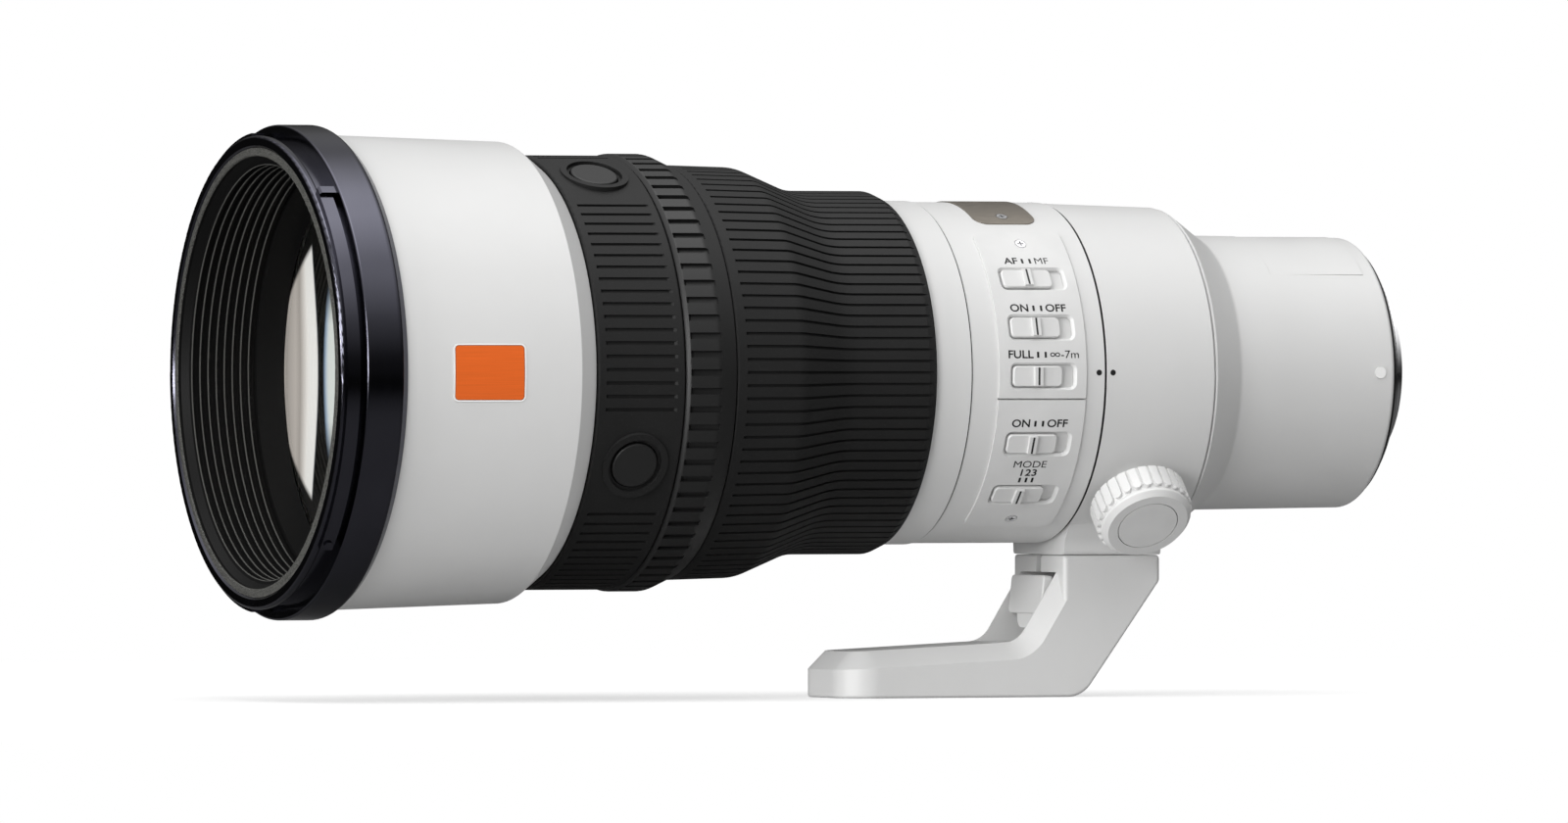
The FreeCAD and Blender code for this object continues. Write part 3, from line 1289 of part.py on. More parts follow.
def collar_ring():
    """Tripod collar with its pedestal, the dovetail rail under it and the knob's boss."""
    ring = turned(
        [
            (COLLAR_START, COLLAR_BORE - PEDESTAL_ROOT),
            (COLLAR_START, COLLAR_FRONT_RADIUS - SEAM_CHAMFER),
            (COLLAR_START + SEAM_CHAMFER, COLLAR_FRONT_RADIUS),
            (COLLAR_END, COLLAR_REAR_RADIUS, EDGE_ROUNDING),
            (COLLAR_END, COLLAR_BORE - PEDESTAL_ROOT),
        ]
    )
    half = PEDESTAL_WIDTH / 2
    root = COLLAR_BORE - PEDESTAL_ROOT
    flare_low = PEDESTAL_DROP - PEDESTAL_EDGE
    flare_top = flare_low - PEDESTAL_FLARE_HEIGHT
    outline = [
        (-half, PEDESTAL_DROP, PEDESTAL_ROUNDING),
        (-half, flare_low, PEDESTAL_FLARE),
        (-half - PEDESTAL_FLARE, flare_top),
        (-half, root),
        (half, root),
        (half + PEDESTAL_FLARE, flare_top),
        (half, flare_low, PEDESTAL_FLARE),
        (half, PEDESTAL_DROP, PEDESTAL_ROUNDING),
    ]

    def under_axis(across, drop):
        return FreeCAD.Vector(PEDESTAL_START - SOCKET_BACK, across, AXIS_HEIGHT - drop)

    pedestal = Part.Face(closed_wire(outline, under_axis)).extrude(X_AXIS * PEDESTAL_LENGTH)
    boss = radial_pin(LOCK_BACK, LOCK_BOSS_RADIUS, COLLAR_BORE, LOCK_BOSS_REACH, LOCK_ANGLE)
    neck = dovetail(0, COLLAR_BORE, PEDESTAL_DROP + RAIL_HEIGHT)
    bore = turned(
        [
            (COLLAR_START - CUT_REACH, 0),
            (COLLAR_START - CUT_REACH, COLLAR_BORE),
            (COLLAR_END + CUT_REACH, COLLAR_BORE),
            (COLLAR_END + CUT_REACH, 0),
        ]
    )
    hole_low = COLLAR_BORE - CUT_REACH
    hole_top = LOCK_BOSS_REACH + CUT_REACH
    hole_radius = LOCK_STUD_RADIUS + TURNING_CLEARANCE
    stud_hole = radial_pin(LOCK_BACK, hole_radius, hole_low, hole_top, LOCK_ANGLE)
    return ring.fuse([pedestal, boss, neck]).cut([bore, stud_hole]).removeSplitter()


def dovetail(margin, top_drop, low_drop):
    """The rail under the pedestal, or with a margin the groove that it slides in."""
    neck = RAIL_NECK / 2 + margin
    foot = RAIL_WIDTH / 2 + margin
    seam = PEDESTAL_DROP
    outline = [
        (-neck, top_drop),
        (-neck, seam),
        (-foot, low_drop),
        (foot, low_drop),
        (neck, seam),
        (neck, top_drop),
    ]
    start = PEDESTAL_START + RAIL_FRONT_INSET - margin
    reach = PEDESTAL_LENGTH - RAIL_FRONT_INSET + margin

    def under_axis(across, drop):
        return FreeCAD.Vector(start - SOCKET_BACK, across, AXIS_HEIGHT - drop)

    return Part.Face(closed_wire(outline, under_axis)).extrude(X_AXIS * reach)


def lock_knob_base():
    """Radius at which the lock knob begins."""
    return LOCK_BOSS_REACH + RING_GAP


def collar_lock_knob():
    """Knob that clamps the collar: broad ribs with round ends, a neck and a bevelled rim."""
    base = lock_knob_base()
    top = base + LOCK_KNOB_HEIGHT
    shoulder = base + LOCK_RIB_HEIGHT
    core = LOCK_KNOB_RADIUS - LOCK_RIB_DEPTH
    rim = LOCK_KNOB_RADIUS - LOCK_RIM_DEPTH
    neck = LOCK_KNOB_RADIUS - LOCK_NECK_DEPTH

    def beside_knob(reach, radius):
        return above_axis(LOCK_BACK + reach, radius)

    outline = [
        (0, base),
        (core, base, EDGE_ROUNDING),
        (core, shoulder - LOCK_RIB_WIDTH / 2),
        (neck, shoulder),
        (rim, shoulder + LOCK_RIM_DEPTH),
        (rim, top - LOCK_RIM_BEVEL, EDGE_ROUNDING),
        (rim - LOCK_RIM_BEVEL, top),
        (0, top),
    ]
    middle = above_axis(LOCK_BACK, 0)
    knob = Part.Face(closed_wire(outline, beside_knob)).revolve(middle, Z_AXIS, FULL_TURN)
    half = LOCK_RIB_WIDTH / 2
    bar = Part.makeBox(
        LOCK_KNOB_RADIUS,
        LOCK_RIB_WIDTH,
        LOCK_RIB_HEIGHT - half - EDGE_ROUNDING,
        beside_knob(0, base + EDGE_ROUNDING) - Y_AXIS * half,
    )
    tip = Part.makeCylinder(half, LOCK_KNOB_RADIUS, beside_knob(0, shoulder - half), X_AXIS)
    rib = bar.fuse(tip).removeSplitter().cut(radial_pin(LOCK_BACK, neck - half, base, top, TOP_ANGLE))
    ribs = []
    for place in angles(LOCK_RIB_COUNT):
        copy = rib.copy()
        copy.rotate(middle, Z_AXIS, place)
        ribs.append(copy)
    envelope = radial_pin(LOCK_BACK, LOCK_KNOB_RADIUS, base, top, TOP_ANGLE)
    knob = knob.fuse(ribs).common(envelope).removeSplitter()
    cap_seat = radial_pin(
        LOCK_BACK, LOCK_CAP_RADIUS + LOCK_CAP_GAP, top - LOCK_CAP_THICKNESS, top + CUT_REACH, TOP_ANGLE
    )
    stud_hole = radial_pin(
        LOCK_BACK, LOCK_STUD_RADIUS + SEAT_CLEARANCE, base - CUT_REACH, base + LOCK_STUD_IN_KNOB, TOP_ANGLE
    )
    return at_angle(knob.cut([cap_seat, stud_hole]), LOCK_ANGLE)


def lock_knob_cap():
    """Round disc set in the face of the lock knob."""
    top = lock_knob_base() + LOCK_KNOB_HEIGHT
    return radial_pin(LOCK_BACK, LOCK_CAP_RADIUS, top - LOCK_CAP_THICKNESS, top, LOCK_ANGLE)


def lock_stud():
    """Steel stud of the lock knob, which reaches through the collar."""
    low = LOCK_BOSS_REACH - LOCK_STUD_IN_COLLAR
    return radial_pin(LOCK_BACK, LOCK_STUD_RADIUS, low, lock_knob_base() + LOCK_STUD_IN_KNOB, LOCK_ANGLE)


def foot_front_edge(height):
    """Back of the upright's slanted front edge at a height."""
    drop = FOOT_TOP - FOOT_BRIDGE_THICKNESS - height
    return PEDESTAL_START - drop * math.tan(math.radians(FOOT_FRONT_SLANT))


def foot_rear_edge(height):
    """Back of the upright's slanted rear edge at a height."""
    drop = FOOT_TOP - FOOT_REAR_STRAIGHT - height
    return PEDESTAL_END - drop * math.tan(math.radians(FOOT_REAR_SLANT))


def foot_outline():
    """Corners of the foot seen from the side."""
    front = SOCKET_BACK - FOOT_SOLE_FRONT
    bridge = FOOT_TOP - FOOT_BRIDGE_THICKNESS
    return [
        (PEDESTAL_START, FOOT_TOP, 0.8),
        (PEDESTAL_START, bridge),
        (foot_front_edge(FOOT_ARM_REAR_HEIGHT), FOOT_ARM_REAR_HEIGHT, FOOT_THROAT_ROUNDING),
        (front, FOOT_ARM_FRONT_HEIGHT),
        (front, 0),
        (foot_rear_edge(0), 0, FOOT_HEEL_ROUNDING),
        (PEDESTAL_END, FOOT_TOP - FOOT_REAR_STRAIGHT),
        (PEDESTAL_END, FOOT_TOP, PEDESTAL_ROUNDING),
    ]


def foot_side_edges(body, low, high, front, rear):
    """Edges on the foot's outline between two heights and two places along X."""
    nose_end = FOOT_NOSE_ROUNDING - FOOT_SOLE_FRONT
    chosen = []
    for edge in body.Edges:
        box = edge.BoundBox
        outer = box.YLength < SAME_PLACE or box.XMax < nose_end + SAME_PLACE
        in_height = box.ZMin > low - SAME_PLACE and box.ZMax < high + SAME_PLACE
        in_length = box.XMin > front - SAME_PLACE and box.XMax < rear + SAME_PLACE
        if outer and in_height and in_length:
            chosen.append(edge)
    return chosen


def foot():
    """Tripod foot: sole, arm, two cheeks round an open pocket, and the bridge on top."""
    half = FOOT_WIDTH / 2
    front = -FOOT_SOLE_FRONT
    bridge = FOOT_TOP - FOOT_BRIDGE_THICKNESS
    bridge_front = PEDESTAL_START - SOCKET_BACK
    bridge_rear = PEDESTAL_END - SOCKET_BACK
    face = Part.Face(closed_wire(foot_outline(), beside_foot))
    face.translate(Y_AXIS * -half)
    body = face.extrude(Y_AXIS * FOOT_WIDTH)
    nose = [edge for edge in foot_side_edges(body, 0, bridge, front, front) if edge.BoundBox.ZLength > 1]
    body = body.makeFillet(FOOT_NOSE_ROUNDING, nose)
    arm = foot_side_edges(body, FOOT_ARM_FRONT_HEIGHT, bridge, front, bridge_front)
    body = body.makeChamfer(FOOT_EDGE_CHAMFER, arm)
    corners = foot_side_edges(body, bridge, FOOT_TOP, bridge_front, bridge_front)
    body = body.makeFillet(FOOT_BRIDGE_ROUNDING, corners)
    behind_corner = bridge_front + FOOT_BRIDGE_ROUNDING
    rear = foot_side_edges(body, FOOT_HEEL_ROUNDING / 10, FOOT_TOP, behind_corner, bridge_rear)
    rear = [edge for edge in rear if edge.BoundBox.YLength < SAME_PLACE]
    body = body.makeFillet(FOOT_SIDE_ROUNDING, rear)
    slit = Part.makeBox(
        FOOT_SLIT_DEPTH,
        FOOT_SLIT_WIDTH,
        FOOT_BRIDGE_THICKNESS + 2 * CUT_REACH,
        FreeCAD.Vector(bridge_front, -FOOT_SLIT_WIDTH / 2, bridge - CUT_REACH),
    )
    groove_floor = PEDESTAL_DROP + RAIL_HEIGHT + SLIDE_CLEARANCE
    groove = dovetail(SLIDE_CLEARANCE, PEDESTAL_DROP - CUT_REACH, groove_floor)
    sockets = [insert_seat(0, LARGE_THREAD_RADIUS), insert_seat(-SMALL_SOCKET_AHEAD, SMALL_THREAD_RADIUS)]
    return body.cut([foot_pocket(), slit, groove, lever_pin_hole()] + sockets)


def foot_pocket():
    """The open space between the cheeks, where the lever hangs."""
    bridge = FOOT_TOP - FOOT_BRIDGE_THICKNESS
    floor = FOOT_ARM_REAR_HEIGHT
    wall = FOOT_POCKET_WALL / math.cos(math.radians(FOOT_REAR_SLANT))
    reach = FOOT_POCKET_REACH
    outline = [
        (PEDESTAL_START - reach, bridge),
        (PEDESTAL_START - reach, floor),
        (foot_rear_edge(floor) - wall, floor, FOOT_POCKET_ROUNDING),
        (foot_rear_edge(bridge) - wall, bridge, FOOT_POCKET_ROUNDING),
    ]
    face = Part.Face(closed_wire(outline, beside_foot))
    face.translate(Y_AXIS * (-FOOT_POCKET_WIDTH / 2))
    return face.extrude(Y_AXIS * FOOT_POCKET_WIDTH)


def insert_seat(along, thread_radius):
    """Blind seat of a thread insert in the sole."""
    depth = THREAD_DEPTH + INSERT_FLOOR + SEAT_CLEARANCE
    start = FreeCAD.Vector(along, 0, -CUT_REACH)
    return Part.makeCylinder(thread_radius + INSERT_WALL + SEAT_CLEARANCE, depth + CUT_REACH, start)


def thread_insert(along, thread_radius):
    """Steel insert with a blind tripod thread, flush with the sole."""
    outer = Part.makeCylinder(
        thread_radius + INSERT_WALL, THREAD_DEPTH + INSERT_FLOOR, FreeCAD.Vector(along, 0, 0)
    )
    bore_start = FreeCAD.Vector(along, 0, -CUT_REACH)
    bore = Part.makeCylinder(thread_radius, THREAD_DEPTH + CUT_REACH, bore_start)
    return outer.cut(bore)


def lever_face_back():
    """Back of the lever's front face."""
    return PEDESTAL_START - LEVER_FRONT_INSET


def lever_pivot():
    """Centre of the lever's pin in the middle plane."""
    height = FOOT_TOP - FOOT_BRIDGE_THICKNESS - LEVER_TOP_DROP - LEVER_HEIGHT / 2
    return beside_foot(lever_face_back() + LEVER_PIVOT_RUN, height)


def foot_lever():
    """Release lever: a finger plate, a rounded tongue under it and an arm to its pin."""
    top = FOOT_TOP - FOOT_BRIDGE_THICKNESS - LEVER_TOP_DROP
    face_x = lever_face_back() - SOCKET_BACK
    plate = rounded_block(LEVER_HEIGHT, LEVER_WIDTH, LEVER_THICKNESS, LEVER_CORNER)
    rim = [edge for edge in plate.Edges if edge.BoundBox.ZMin > LEVER_THICKNESS - SAME_PLACE]
    plate = plate.makeFillet(EDGE_ROUNDING, rim)
    plate.rotate(FreeCAD.Vector(0, 0, 0), Y_AXIS, -90)
    plate.translate(FreeCAD.Vector(face_x + LEVER_THICKNESS, 0, top - LEVER_HEIGHT / 2))
    tongue_low = top - LEVER_HEIGHT - LEVER_TONGUE_DROP
    tongue_height = LEVER_HEIGHT / 2 + LEVER_TONGUE_DROP
    tongue = rounded_block(
        tongue_height, LEVER_TONGUE_WIDTH, LEVER_TONGUE_THICKNESS, LEVER_TONGUE_CORNER
    )
    tongue.rotate(FreeCAD.Vector(0, 0, 0), Y_AXIS, -90)
    tongue_middle = tongue_low + tongue_height / 2
    tongue_x = face_x + LEVER_TONGUE_INSET + LEVER_TONGUE_THICKNESS
    tongue.translate(FreeCAD.Vector(tongue_x, 0, tongue_middle))
    pivot = lever_pivot()
    blade = plate.fuse(tongue)
    blade.rotate(FreeCAD.Vector(face_x + LEVER_THICKNESS / 2, 0, pivot.z), Y_AXIS, LEVER_LEAN)
    arm = Part.makeBox(
        pivot.x - face_x - LEVER_THICKNESS / 2,
        LEVER_ARM_WIDTH,
        LEVER_ARM_HEIGHT,
        FreeCAD.Vector(face_x + LEVER_THICKNESS / 2, -LEVER_ARM_WIDTH / 2, pivot.z - LEVER_ARM_HEIGHT / 2),
    )
    hub_width = FOOT_POCKET_WIDTH - 2 * SLIDE_CLEARANCE
    hub = Part.makeCylinder(
        LEVER_HUB_RADIUS, hub_width, FreeCAD.Vector(pivot.x, -hub_width / 2, pivot.z), Y_AXIS
    )
    bore_start = FreeCAD.Vector(pivot.x, -FOOT_WIDTH / 2, pivot.z)
    bore = Part.makeCylinder(LEVER_PIN_RADIUS + PIN_CLEARANCE, FOOT_WIDTH, bore_start, Y_AXIS)
    return blade.fuse([arm, hub]).cut(bore)


def lever_pin_shape(margin):
    """The lever's pin, or with a margin its hole in the cheeks."""
    pivot = lever_pivot()
    length = FOOT_POCKET_WIDTH + 2 * LEVER_PIN_BITE + 2 * margin
    return Part.makeCylinder(
        LEVER_PIN_RADIUS + margin, length, FreeCAD.Vector(pivot.x, -length / 2, pivot.z), Y_AXIS
    )


def lever_pin_hole():
    """Blind holes in the cheeks for the lever's pin."""
    return lever_pin_shape(SAME_PLACE)


def lever_pin():
    """Steel pin of the lever, held in the two cheeks."""
    return lever_pin_shape(0)


def rear_barrel():
    """White rear barrel: cone, plain length, rounded end and the filter's window."""
    cone_end = REAR_START + REAR_LAND + REAR_CONE_LENGTH
    shell = turned(
        [
            (REAR_START, TUBE_REAR_RADIUS + SEAT_CLEARANCE),
            (REAR_START, REAR_FRONT_RADIUS, EDGE_ROUNDING),
            (REAR_START + REAR_LAND, REAR_FRONT_RADIUS, EDGE_ROUNDING),
            (cone_end, REAR_RADIUS, REAR_CONE_ROUNDING),
            (REAR_END, REAR_END_RADIUS, REAR_END_ROUNDING),
            (REAR_END, BAYONET_TUBE_RADIUS + REAR_END_MARGIN),
            (REAR_END - REAR_END_WALL, BAYONET_TUBE_RADIUS + REAR_END_MARGIN),
            (REAR_END - REAR_END_WALL, REAR_END_RADIUS - REAR_WALL),
            (cone_end, REAR_RADIUS - REAR_WALL),
            (cone_end - REAR_INNER_RUN, REAR_RADIUS - REAR_WALL + REAR_INNER_RISE),
            (REAR_START + REAR_FLANGE_THICKNESS, REAR_FRONT_RADIUS - REAR_WALL - REAR_INNER_DROP),
            (REAR_START + REAR_FLANGE_THICKNESS, TUBE_REAR_RADIUS + SEAT_CLEARANCE),
        ]
    )
    low = REAR_RADIUS - FILTER_WINDOW_DEPTH
    window = filter_cap_band(FILTER_CAP_GAP, low, REAR_RADIUS + CUT_REACH)
    bead = index_bead_shape(SEAT_CLEARANCE)
    screws = [mount_screw_hole(place) for place in mount_screw_angles()]
    return shell.cut([window, bead] + screws)


def filter_cap_band(margin, inner, outer):
    """The curved outline of the filter holder's cap, or with a margin its window."""
    angle_margin = math.degrees(margin / REAR_RADIUS)
    return band(
        FILTER_BACK - FILTER_CAP_LENGTH / 2 - margin,
        FILTER_BACK + FILTER_CAP_LENGTH / 2 + margin,
        inner,
        outer,
        TOP_ANGLE + FILTER_CAP_ANGLE / 2 + angle_margin,
        TOP_ANGLE - FILTER_CAP_ANGLE / 2 - angle_margin,
    )


def filter_frame(margin):
    """The flat frame that carries the filter, or with a margin the slot for it."""
    width = FILTER_FRAME_WIDTH + 2 * margin
    thickness = FILTER_FRAME_THICKNESS + 2 * margin
    low = -FILTER_FRAME_DROP - margin
    height = REAR_RADIUS - FILTER_CAP_THICKNESS - low
    corner = FreeCAD.Vector(-thickness / 2, -width / 2, 0)
    frame = Part.makeBox(thickness, width, height, corner)
    frame.translate(above_axis(FILTER_BACK, low))
    return frame


def filter_holder():
    """Drop-in filter holder: a curved cap over a frame with a round opening."""
    radius = rear_radius(FILTER_BACK)
    cap = filter_cap_band(0, radius - FILTER_CAP_THICKNESS, radius)
    stem = filter_frame(0)
    round_end = turned(
        [
            (FILTER_BACK - FILTER_FRAME_THICKNESS, 0),
            (FILTER_BACK - FILTER_FRAME_THICKNESS, radius - CUT_REACH),
            (FILTER_BACK + FILTER_FRAME_THICKNESS, radius - CUT_REACH),
            (FILTER_BACK + FILTER_FRAME_THICKNESS, 0),
        ]
    )
    stem = stem.common(round_end)
    reach = FILTER_CAP_LENGTH / 2
    light = axial_pin(FILTER_BACK - reach, FILTER_BACK + reach, FILTER_BORE, 0, TOP_ANGLE)
    seat = axial_pin(
        FILTER_BACK - FILTER_GLASS_THICKNESS / 2 - GLASS_CLEARANCE,
        FILTER_BACK + reach,
        FILTER_GLASS_RADIUS + GLASS_CLEARANCE,
        0,
        TOP_ANGLE,
    )
    return cap.fuse(stem).cut([light, seat])


def rear_radius(back):
    """Outer radius of the rear barrel behind its cone."""
    start = REAR_START + REAR_LAND + REAR_CONE_LENGTH
    return REAR_RADIUS + (back - start) / (REAR_END - start) * (REAR_END_RADIUS - REAR_RADIUS)


def filter_glass():
    """Round filter in its holder."""
    half = FILTER_GLASS_THICKNESS / 2
    return axial_pin(FILTER_BACK - half, FILTER_BACK + half, FILTER_GLASS_RADIUS, 0, TOP_ANGLE)


def filter_guide():
    """Block inside the rear barrel with the slot that the filter holder slides in."""
    half = FILTER_GUIDE_LENGTH / 2
    outer = REAR_END_RADIUS - REAR_WALL - SEAT_CLEARANCE
    block = axial_pin(FILTER_BACK - half, FILTER_BACK + half, outer, 0, TOP_ANGLE)
    reach = half + CUT_REACH
    light = axial_pin(FILTER_BACK - reach, FILTER_BACK + reach, FILTER_BORE, 0, TOP_ANGLE)
    low = REAR_RADIUS - FILTER_CAP_THICKNESS - FILTER_HEADROOM
    headroom = filter_cap_band(SLIDE_CLEARANCE, low, REAR_RADIUS + CUT_REACH)
    return block.cut([light, headroom, filter_frame(SLIDE_CLEARANCE)])


def index_bead_shape(margin):
    """White alignment bead near the bayonet, or with a margin its hole."""
    back = REAR_END - INDEX_BEAD_AHEAD
    top = rear_radius(back) + INDEX_BEAD_PROUD
    return radial_pin(back, INDEX_BEAD_RADIUS + margin, top - INDEX_BEAD_DEPTH - margin, top + margin, 0)


def mount_index_bead():
    """White alignment bead near the bayonet."""
    return index_bead_shape(0)


def mount_gasket():
    """Thin rubber ring between the rear barrel and the camera."""
    return turned(
        [
            (REAR_END, FLANGE_RADIUS + SEAT_CLEARANCE),
            (REAR_END, GASKET_RADIUS),
            (GASKET_END, GASKET_RADIUS - GASKET_BEVEL),
            (GASKET_END, FLANGE_RADIUS + SEAT_CLEARANCE),
        ]
    )


def mount_flange():
    """Chrome camera bayonet: flange, short tube and its lugs."""
    tube_end = FLANGE_END + BAYONET_TUBE_LENGTH
    ring = turned(
        [
            (REAR_END, BAYONET_TUBE_BORE),
            (REAR_END, FLANGE_RADIUS),
            (FLANGE_END, FLANGE_RADIUS, EDGE_ROUNDING),
            (FLANGE_END, BAYONET_TUBE_RADIUS),
            (tube_end, BAYONET_TUBE_RADIUS),
            (tube_end, BAYONET_TUBE_BORE),
        ]
    )
    lug_end = tube_end - MOUNT_LUG_INSET
    lug_start = lug_end - MOUNT_LUG_THICKNESS
    lugs = []
    for place in angles(MOUNT_LUG_COUNT, MOUNT_LUG_START):
        lugs.append(
            band(
                lug_start,
                lug_end,
                BAYONET_TUBE_RADIUS - ROOT_DEPTH,
                MOUNT_LUG_RADIUS,
                place + MOUNT_LUG_ANGLE / 2,
                place - MOUNT_LUG_ANGLE / 2,
            )
        )
    holes = [mount_screw_hole(place) for place in mount_screw_angles()]
    return ring.fuse(lugs).cut(holes)


def mount_screw_angles():
    """Angles of the screws in the bayonet flange."""
    return angles(MOUNT_SCREW_COUNT, FULL_TURN / MOUNT_SCREW_COUNT / 2)


def mount_screw_hole(angle):
    """Hole of one flange screw, through the flange and into the rear barrel."""
    floor = FLANGE_END - MOUNT_SCREW_HEAD_DEPTH
    over = FLANGE_END + CUT_REACH
    head = axial_pin(floor, over, MOUNT_SCREW_HEAD + SEAT_CLEARANCE, MOUNT_SCREW_CIRCLE, angle)
    shank = axial_pin(
        floor - MOUNT_SCREW_LENGTH - SEAT_CLEARANCE,
        FLANGE_END,
        MOUNT_SCREW_SHANK + SEAT_CLEARANCE,
        MOUNT_SCREW_CIRCLE,
        angle,
    )
    return head.fuse(shank)


def mount_screws():
    """Screws of the bayonet flange."""
    screws = []
    floor = FLANGE_END - MOUNT_SCREW_HEAD_DEPTH
    for place in mount_screw_angles():
        top = FLANGE_END - MOUNT_SCREW_INSET
        head = axial_pin(floor, top, MOUNT_SCREW_HEAD, MOUNT_SCREW_CIRCLE, TOP_ANGLE)
        shank = axial_pin(
            floor - MOUNT_SCREW_LENGTH, floor, MOUNT_SCREW_SHANK, MOUNT_SCREW_CIRCLE, TOP_ANGLE
        )
        middle = above_axis(top, MOUNT_SCREW_CIRCLE)
        slots = []
        long_cross = (SCREW_CROSS_WIDTH, SCREW_CROSS_LENGTH)
        for across, along in (long_cross, reversed(long_cross)):
            corner = middle - FreeCAD.Vector(SCREW_CROSS_DEPTH, across / 2, along / 2)
            slots.append(Part.makeBox(SCREW_CROSS_DEPTH + CUT_REACH, across, along, corner))
        screws.append(at_angle(head.fuse(shank).cut(slots), place))
    return Part.makeCompound(screws)


def rear_baffle():
    """Black ring inside the bayonet that carries the contacts."""
    end = FLANGE_END + BAYONET_TUBE_LENGTH - REAR_BAFFLE_INSET
    start = REAR_END - REAR_BAFFLE_LENGTH
    outer = BAYONET_TUBE_BORE - SEAT_CLEARANCE
    ring = turned(
        [
            (start, REAR_GLASS_RADIUS + GLASS_CLEARANCE),
            (start, outer),
            (end, outer),
            (end, REAR_BAFFLE_BORE),
            (start + REAR_GLASS_THICKNESS + REAR_GLASS_ROOM, REAR_BAFFLE_BORE),
            (start + REAR_GLASS_THICKNESS + REAR_GLASS_ROOM, REAR_GLASS_RADIUS + GLASS_CLEARANCE),
        ]
    )
    return ring.cut(contact_block_shape(SEAT_CLEARANCE))


def contact_block_shape(margin):
    """Curved block that holds the contact pins, or with a margin its recess."""
    end = FLANGE_END + BAYONET_TUBE_LENGTH - REAR_BAFFLE_INSET
    half = CONTACT_PITCH_ANGLE * CONTACT_COUNT / 2
    return band(
        end - CONTACT_BLOCK_THICKNESS - margin,
        end + margin,
        CONTACT_CIRCLE - CONTACT_BLOCK_WIDTH / 2 - margin,
        CONTACT_CIRCLE + CONTACT_BLOCK_WIDTH / 2 + margin,
        -TOP_ANGLE + half + margin,
        -TOP_ANGLE - half - margin,
    )


def contact_places():
    """Angles of the contact pins, at the bottom of the bayonet."""
    first = -TOP_ANGLE - CONTACT_PITCH_ANGLE * (CONTACT_COUNT - 1) / 2
    return [first + CONTACT_PITCH_ANGLE * index for index in range(CONTACT_COUNT)]


def contact_block():
    """Insulating block of the electric contacts."""
    holes = []
    end = FLANGE_END + BAYONET_TUBE_LENGTH - REAR_BAFFLE_INSET
    for place in contact_places():
        radius = CONTACT_RADIUS + SEAT_CLEARANCE
        start = end - CONTACT_LENGTH
        holes.append(axial_pin(start, end + CUT_REACH, radius, CONTACT_CIRCLE, place))
    return contact_block_shape(0).cut(holes)


def contact_pins():
    """Gold contact pins."""
    end = FLANGE_END + BAYONET_TUBE_LENGTH - REAR_BAFFLE_INSET
    start = end - CONTACT_BLOCK_THICKNESS + SEAT_CLEARANCE
    pins = []
    for place in contact_places():
        pins.append(axial_pin(start, end + CONTACT_PROUD, CONTACT_RADIUS, CONTACT_CIRCLE, place))
    return Part.makeCompound(pins)


def rear_element():
    """Last glass, in front of the bayonet."""
    start = REAR_END - REAR_BAFFLE_LENGTH
    bulges = (REAR_GLASS_FRONT_BULGE, -REAR_GLASS_REAR_BULGE)
    return lens_glass(start, REAR_GLASS_RADIUS, REAR_GLASS_THICKNESS, *bulges)


def rod_start():
    """Front end of the focusing guide rods."""
    return SWITCH_START - TUBE_END_WALL


def guide_rods():
    """Two steel rods that the focusing carriage slides on."""
    rods = []
    for place in (TOP_ANGLE, -TOP_ANGLE):
        rods.append(axial_pin(rod_start(), rod_start() + ROD_LENGTH, ROD_RADIUS, ROD_CIRCLE, place))
    return Part.makeCompound(rods)


def carriage_start():
    """Front face of the focusing carriage at rest, in the middle of its travel."""
    return rod_start() + ROD_LENGTH / 2 - FOCUS_CARRIAGE_LENGTH / 2


def focus_carriage():
    """Carriage of the focusing glass with two ears on the guide rods."""
    start = carriage_start()
    end = start + FOCUS_CARRIAGE_LENGTH
    seat = FOCUS_GLASS_RADIUS + GLASS_CLEARANCE
    ring = turned(
        [
            (start, seat),
            (start, seat + CARRIAGE_RING_WALL),
            (end, seat + CARRIAGE_RING_WALL),
            (end, seat - GLASS_LEDGE),
            (start + FOCUS_GLASS_THICKNESS, seat - GLASS_LEDGE),
            (start + FOCUS_GLASS_THICKNESS, seat),
        ]
    )
    ears = []
    holes = []
    for place in (TOP_ANGLE, -TOP_ANGLE):
        ears.append(
            radial_block(
                start + FOCUS_CARRIAGE_LENGTH / 2,
                FOCUS_CARRIAGE_LENGTH,
                CARRIAGE_EAR_WIDTH,
                seat + CARRIAGE_RING_WALL / 2,
                FOCUS_CARRIAGE_RADIUS,
                place,
            )
        )
        hole = ROD_RADIUS + PIN_CLEARANCE
        holes.append(axial_pin(start - CUT_REACH, end + CUT_REACH, hole, ROD_CIRCLE, place))
    return ring.fuse(ears).cut(holes)


def focus_element():
    """Focusing glass in its carriage."""
    thickness = FOCUS_GLASS_THICKNESS - GLASS_CLEARANCE
    bulge = -FOCUS_GLASS_BULGE
    return lens_glass(carriage_start(), FOCUS_GLASS_RADIUS, thickness, bulge, bulge)


def focus_magnets():
    """Magnet bars of the two linear focusing motors, on the wall of the inner tube."""
    bars = []
    outer = math.sqrt(INNER_BORE**2 - (MAGNET_WIDTH / 2) ** 2) - SEAT_CLEARANCE
    for place in (0, 2 * TOP_ANGLE):
        bars.append(
            radial_block(
                rod_start() + ROD_LENGTH / 2,
                ROD_LENGTH,
                MAGNET_WIDTH,
                outer - MAGNET_THICKNESS,
                outer,
                place,
            )
        )
    return Part.makeCompound(bars)


def aperture_start():
    """Front face of the aperture unit, against the ends of the guide rods."""
    return rod_start() + ROD_LENGTH


def unit_radius():
    """Outer radius of the units that fit in the inner tube."""
    return INNER_BORE - SEAT_CLEARANCE


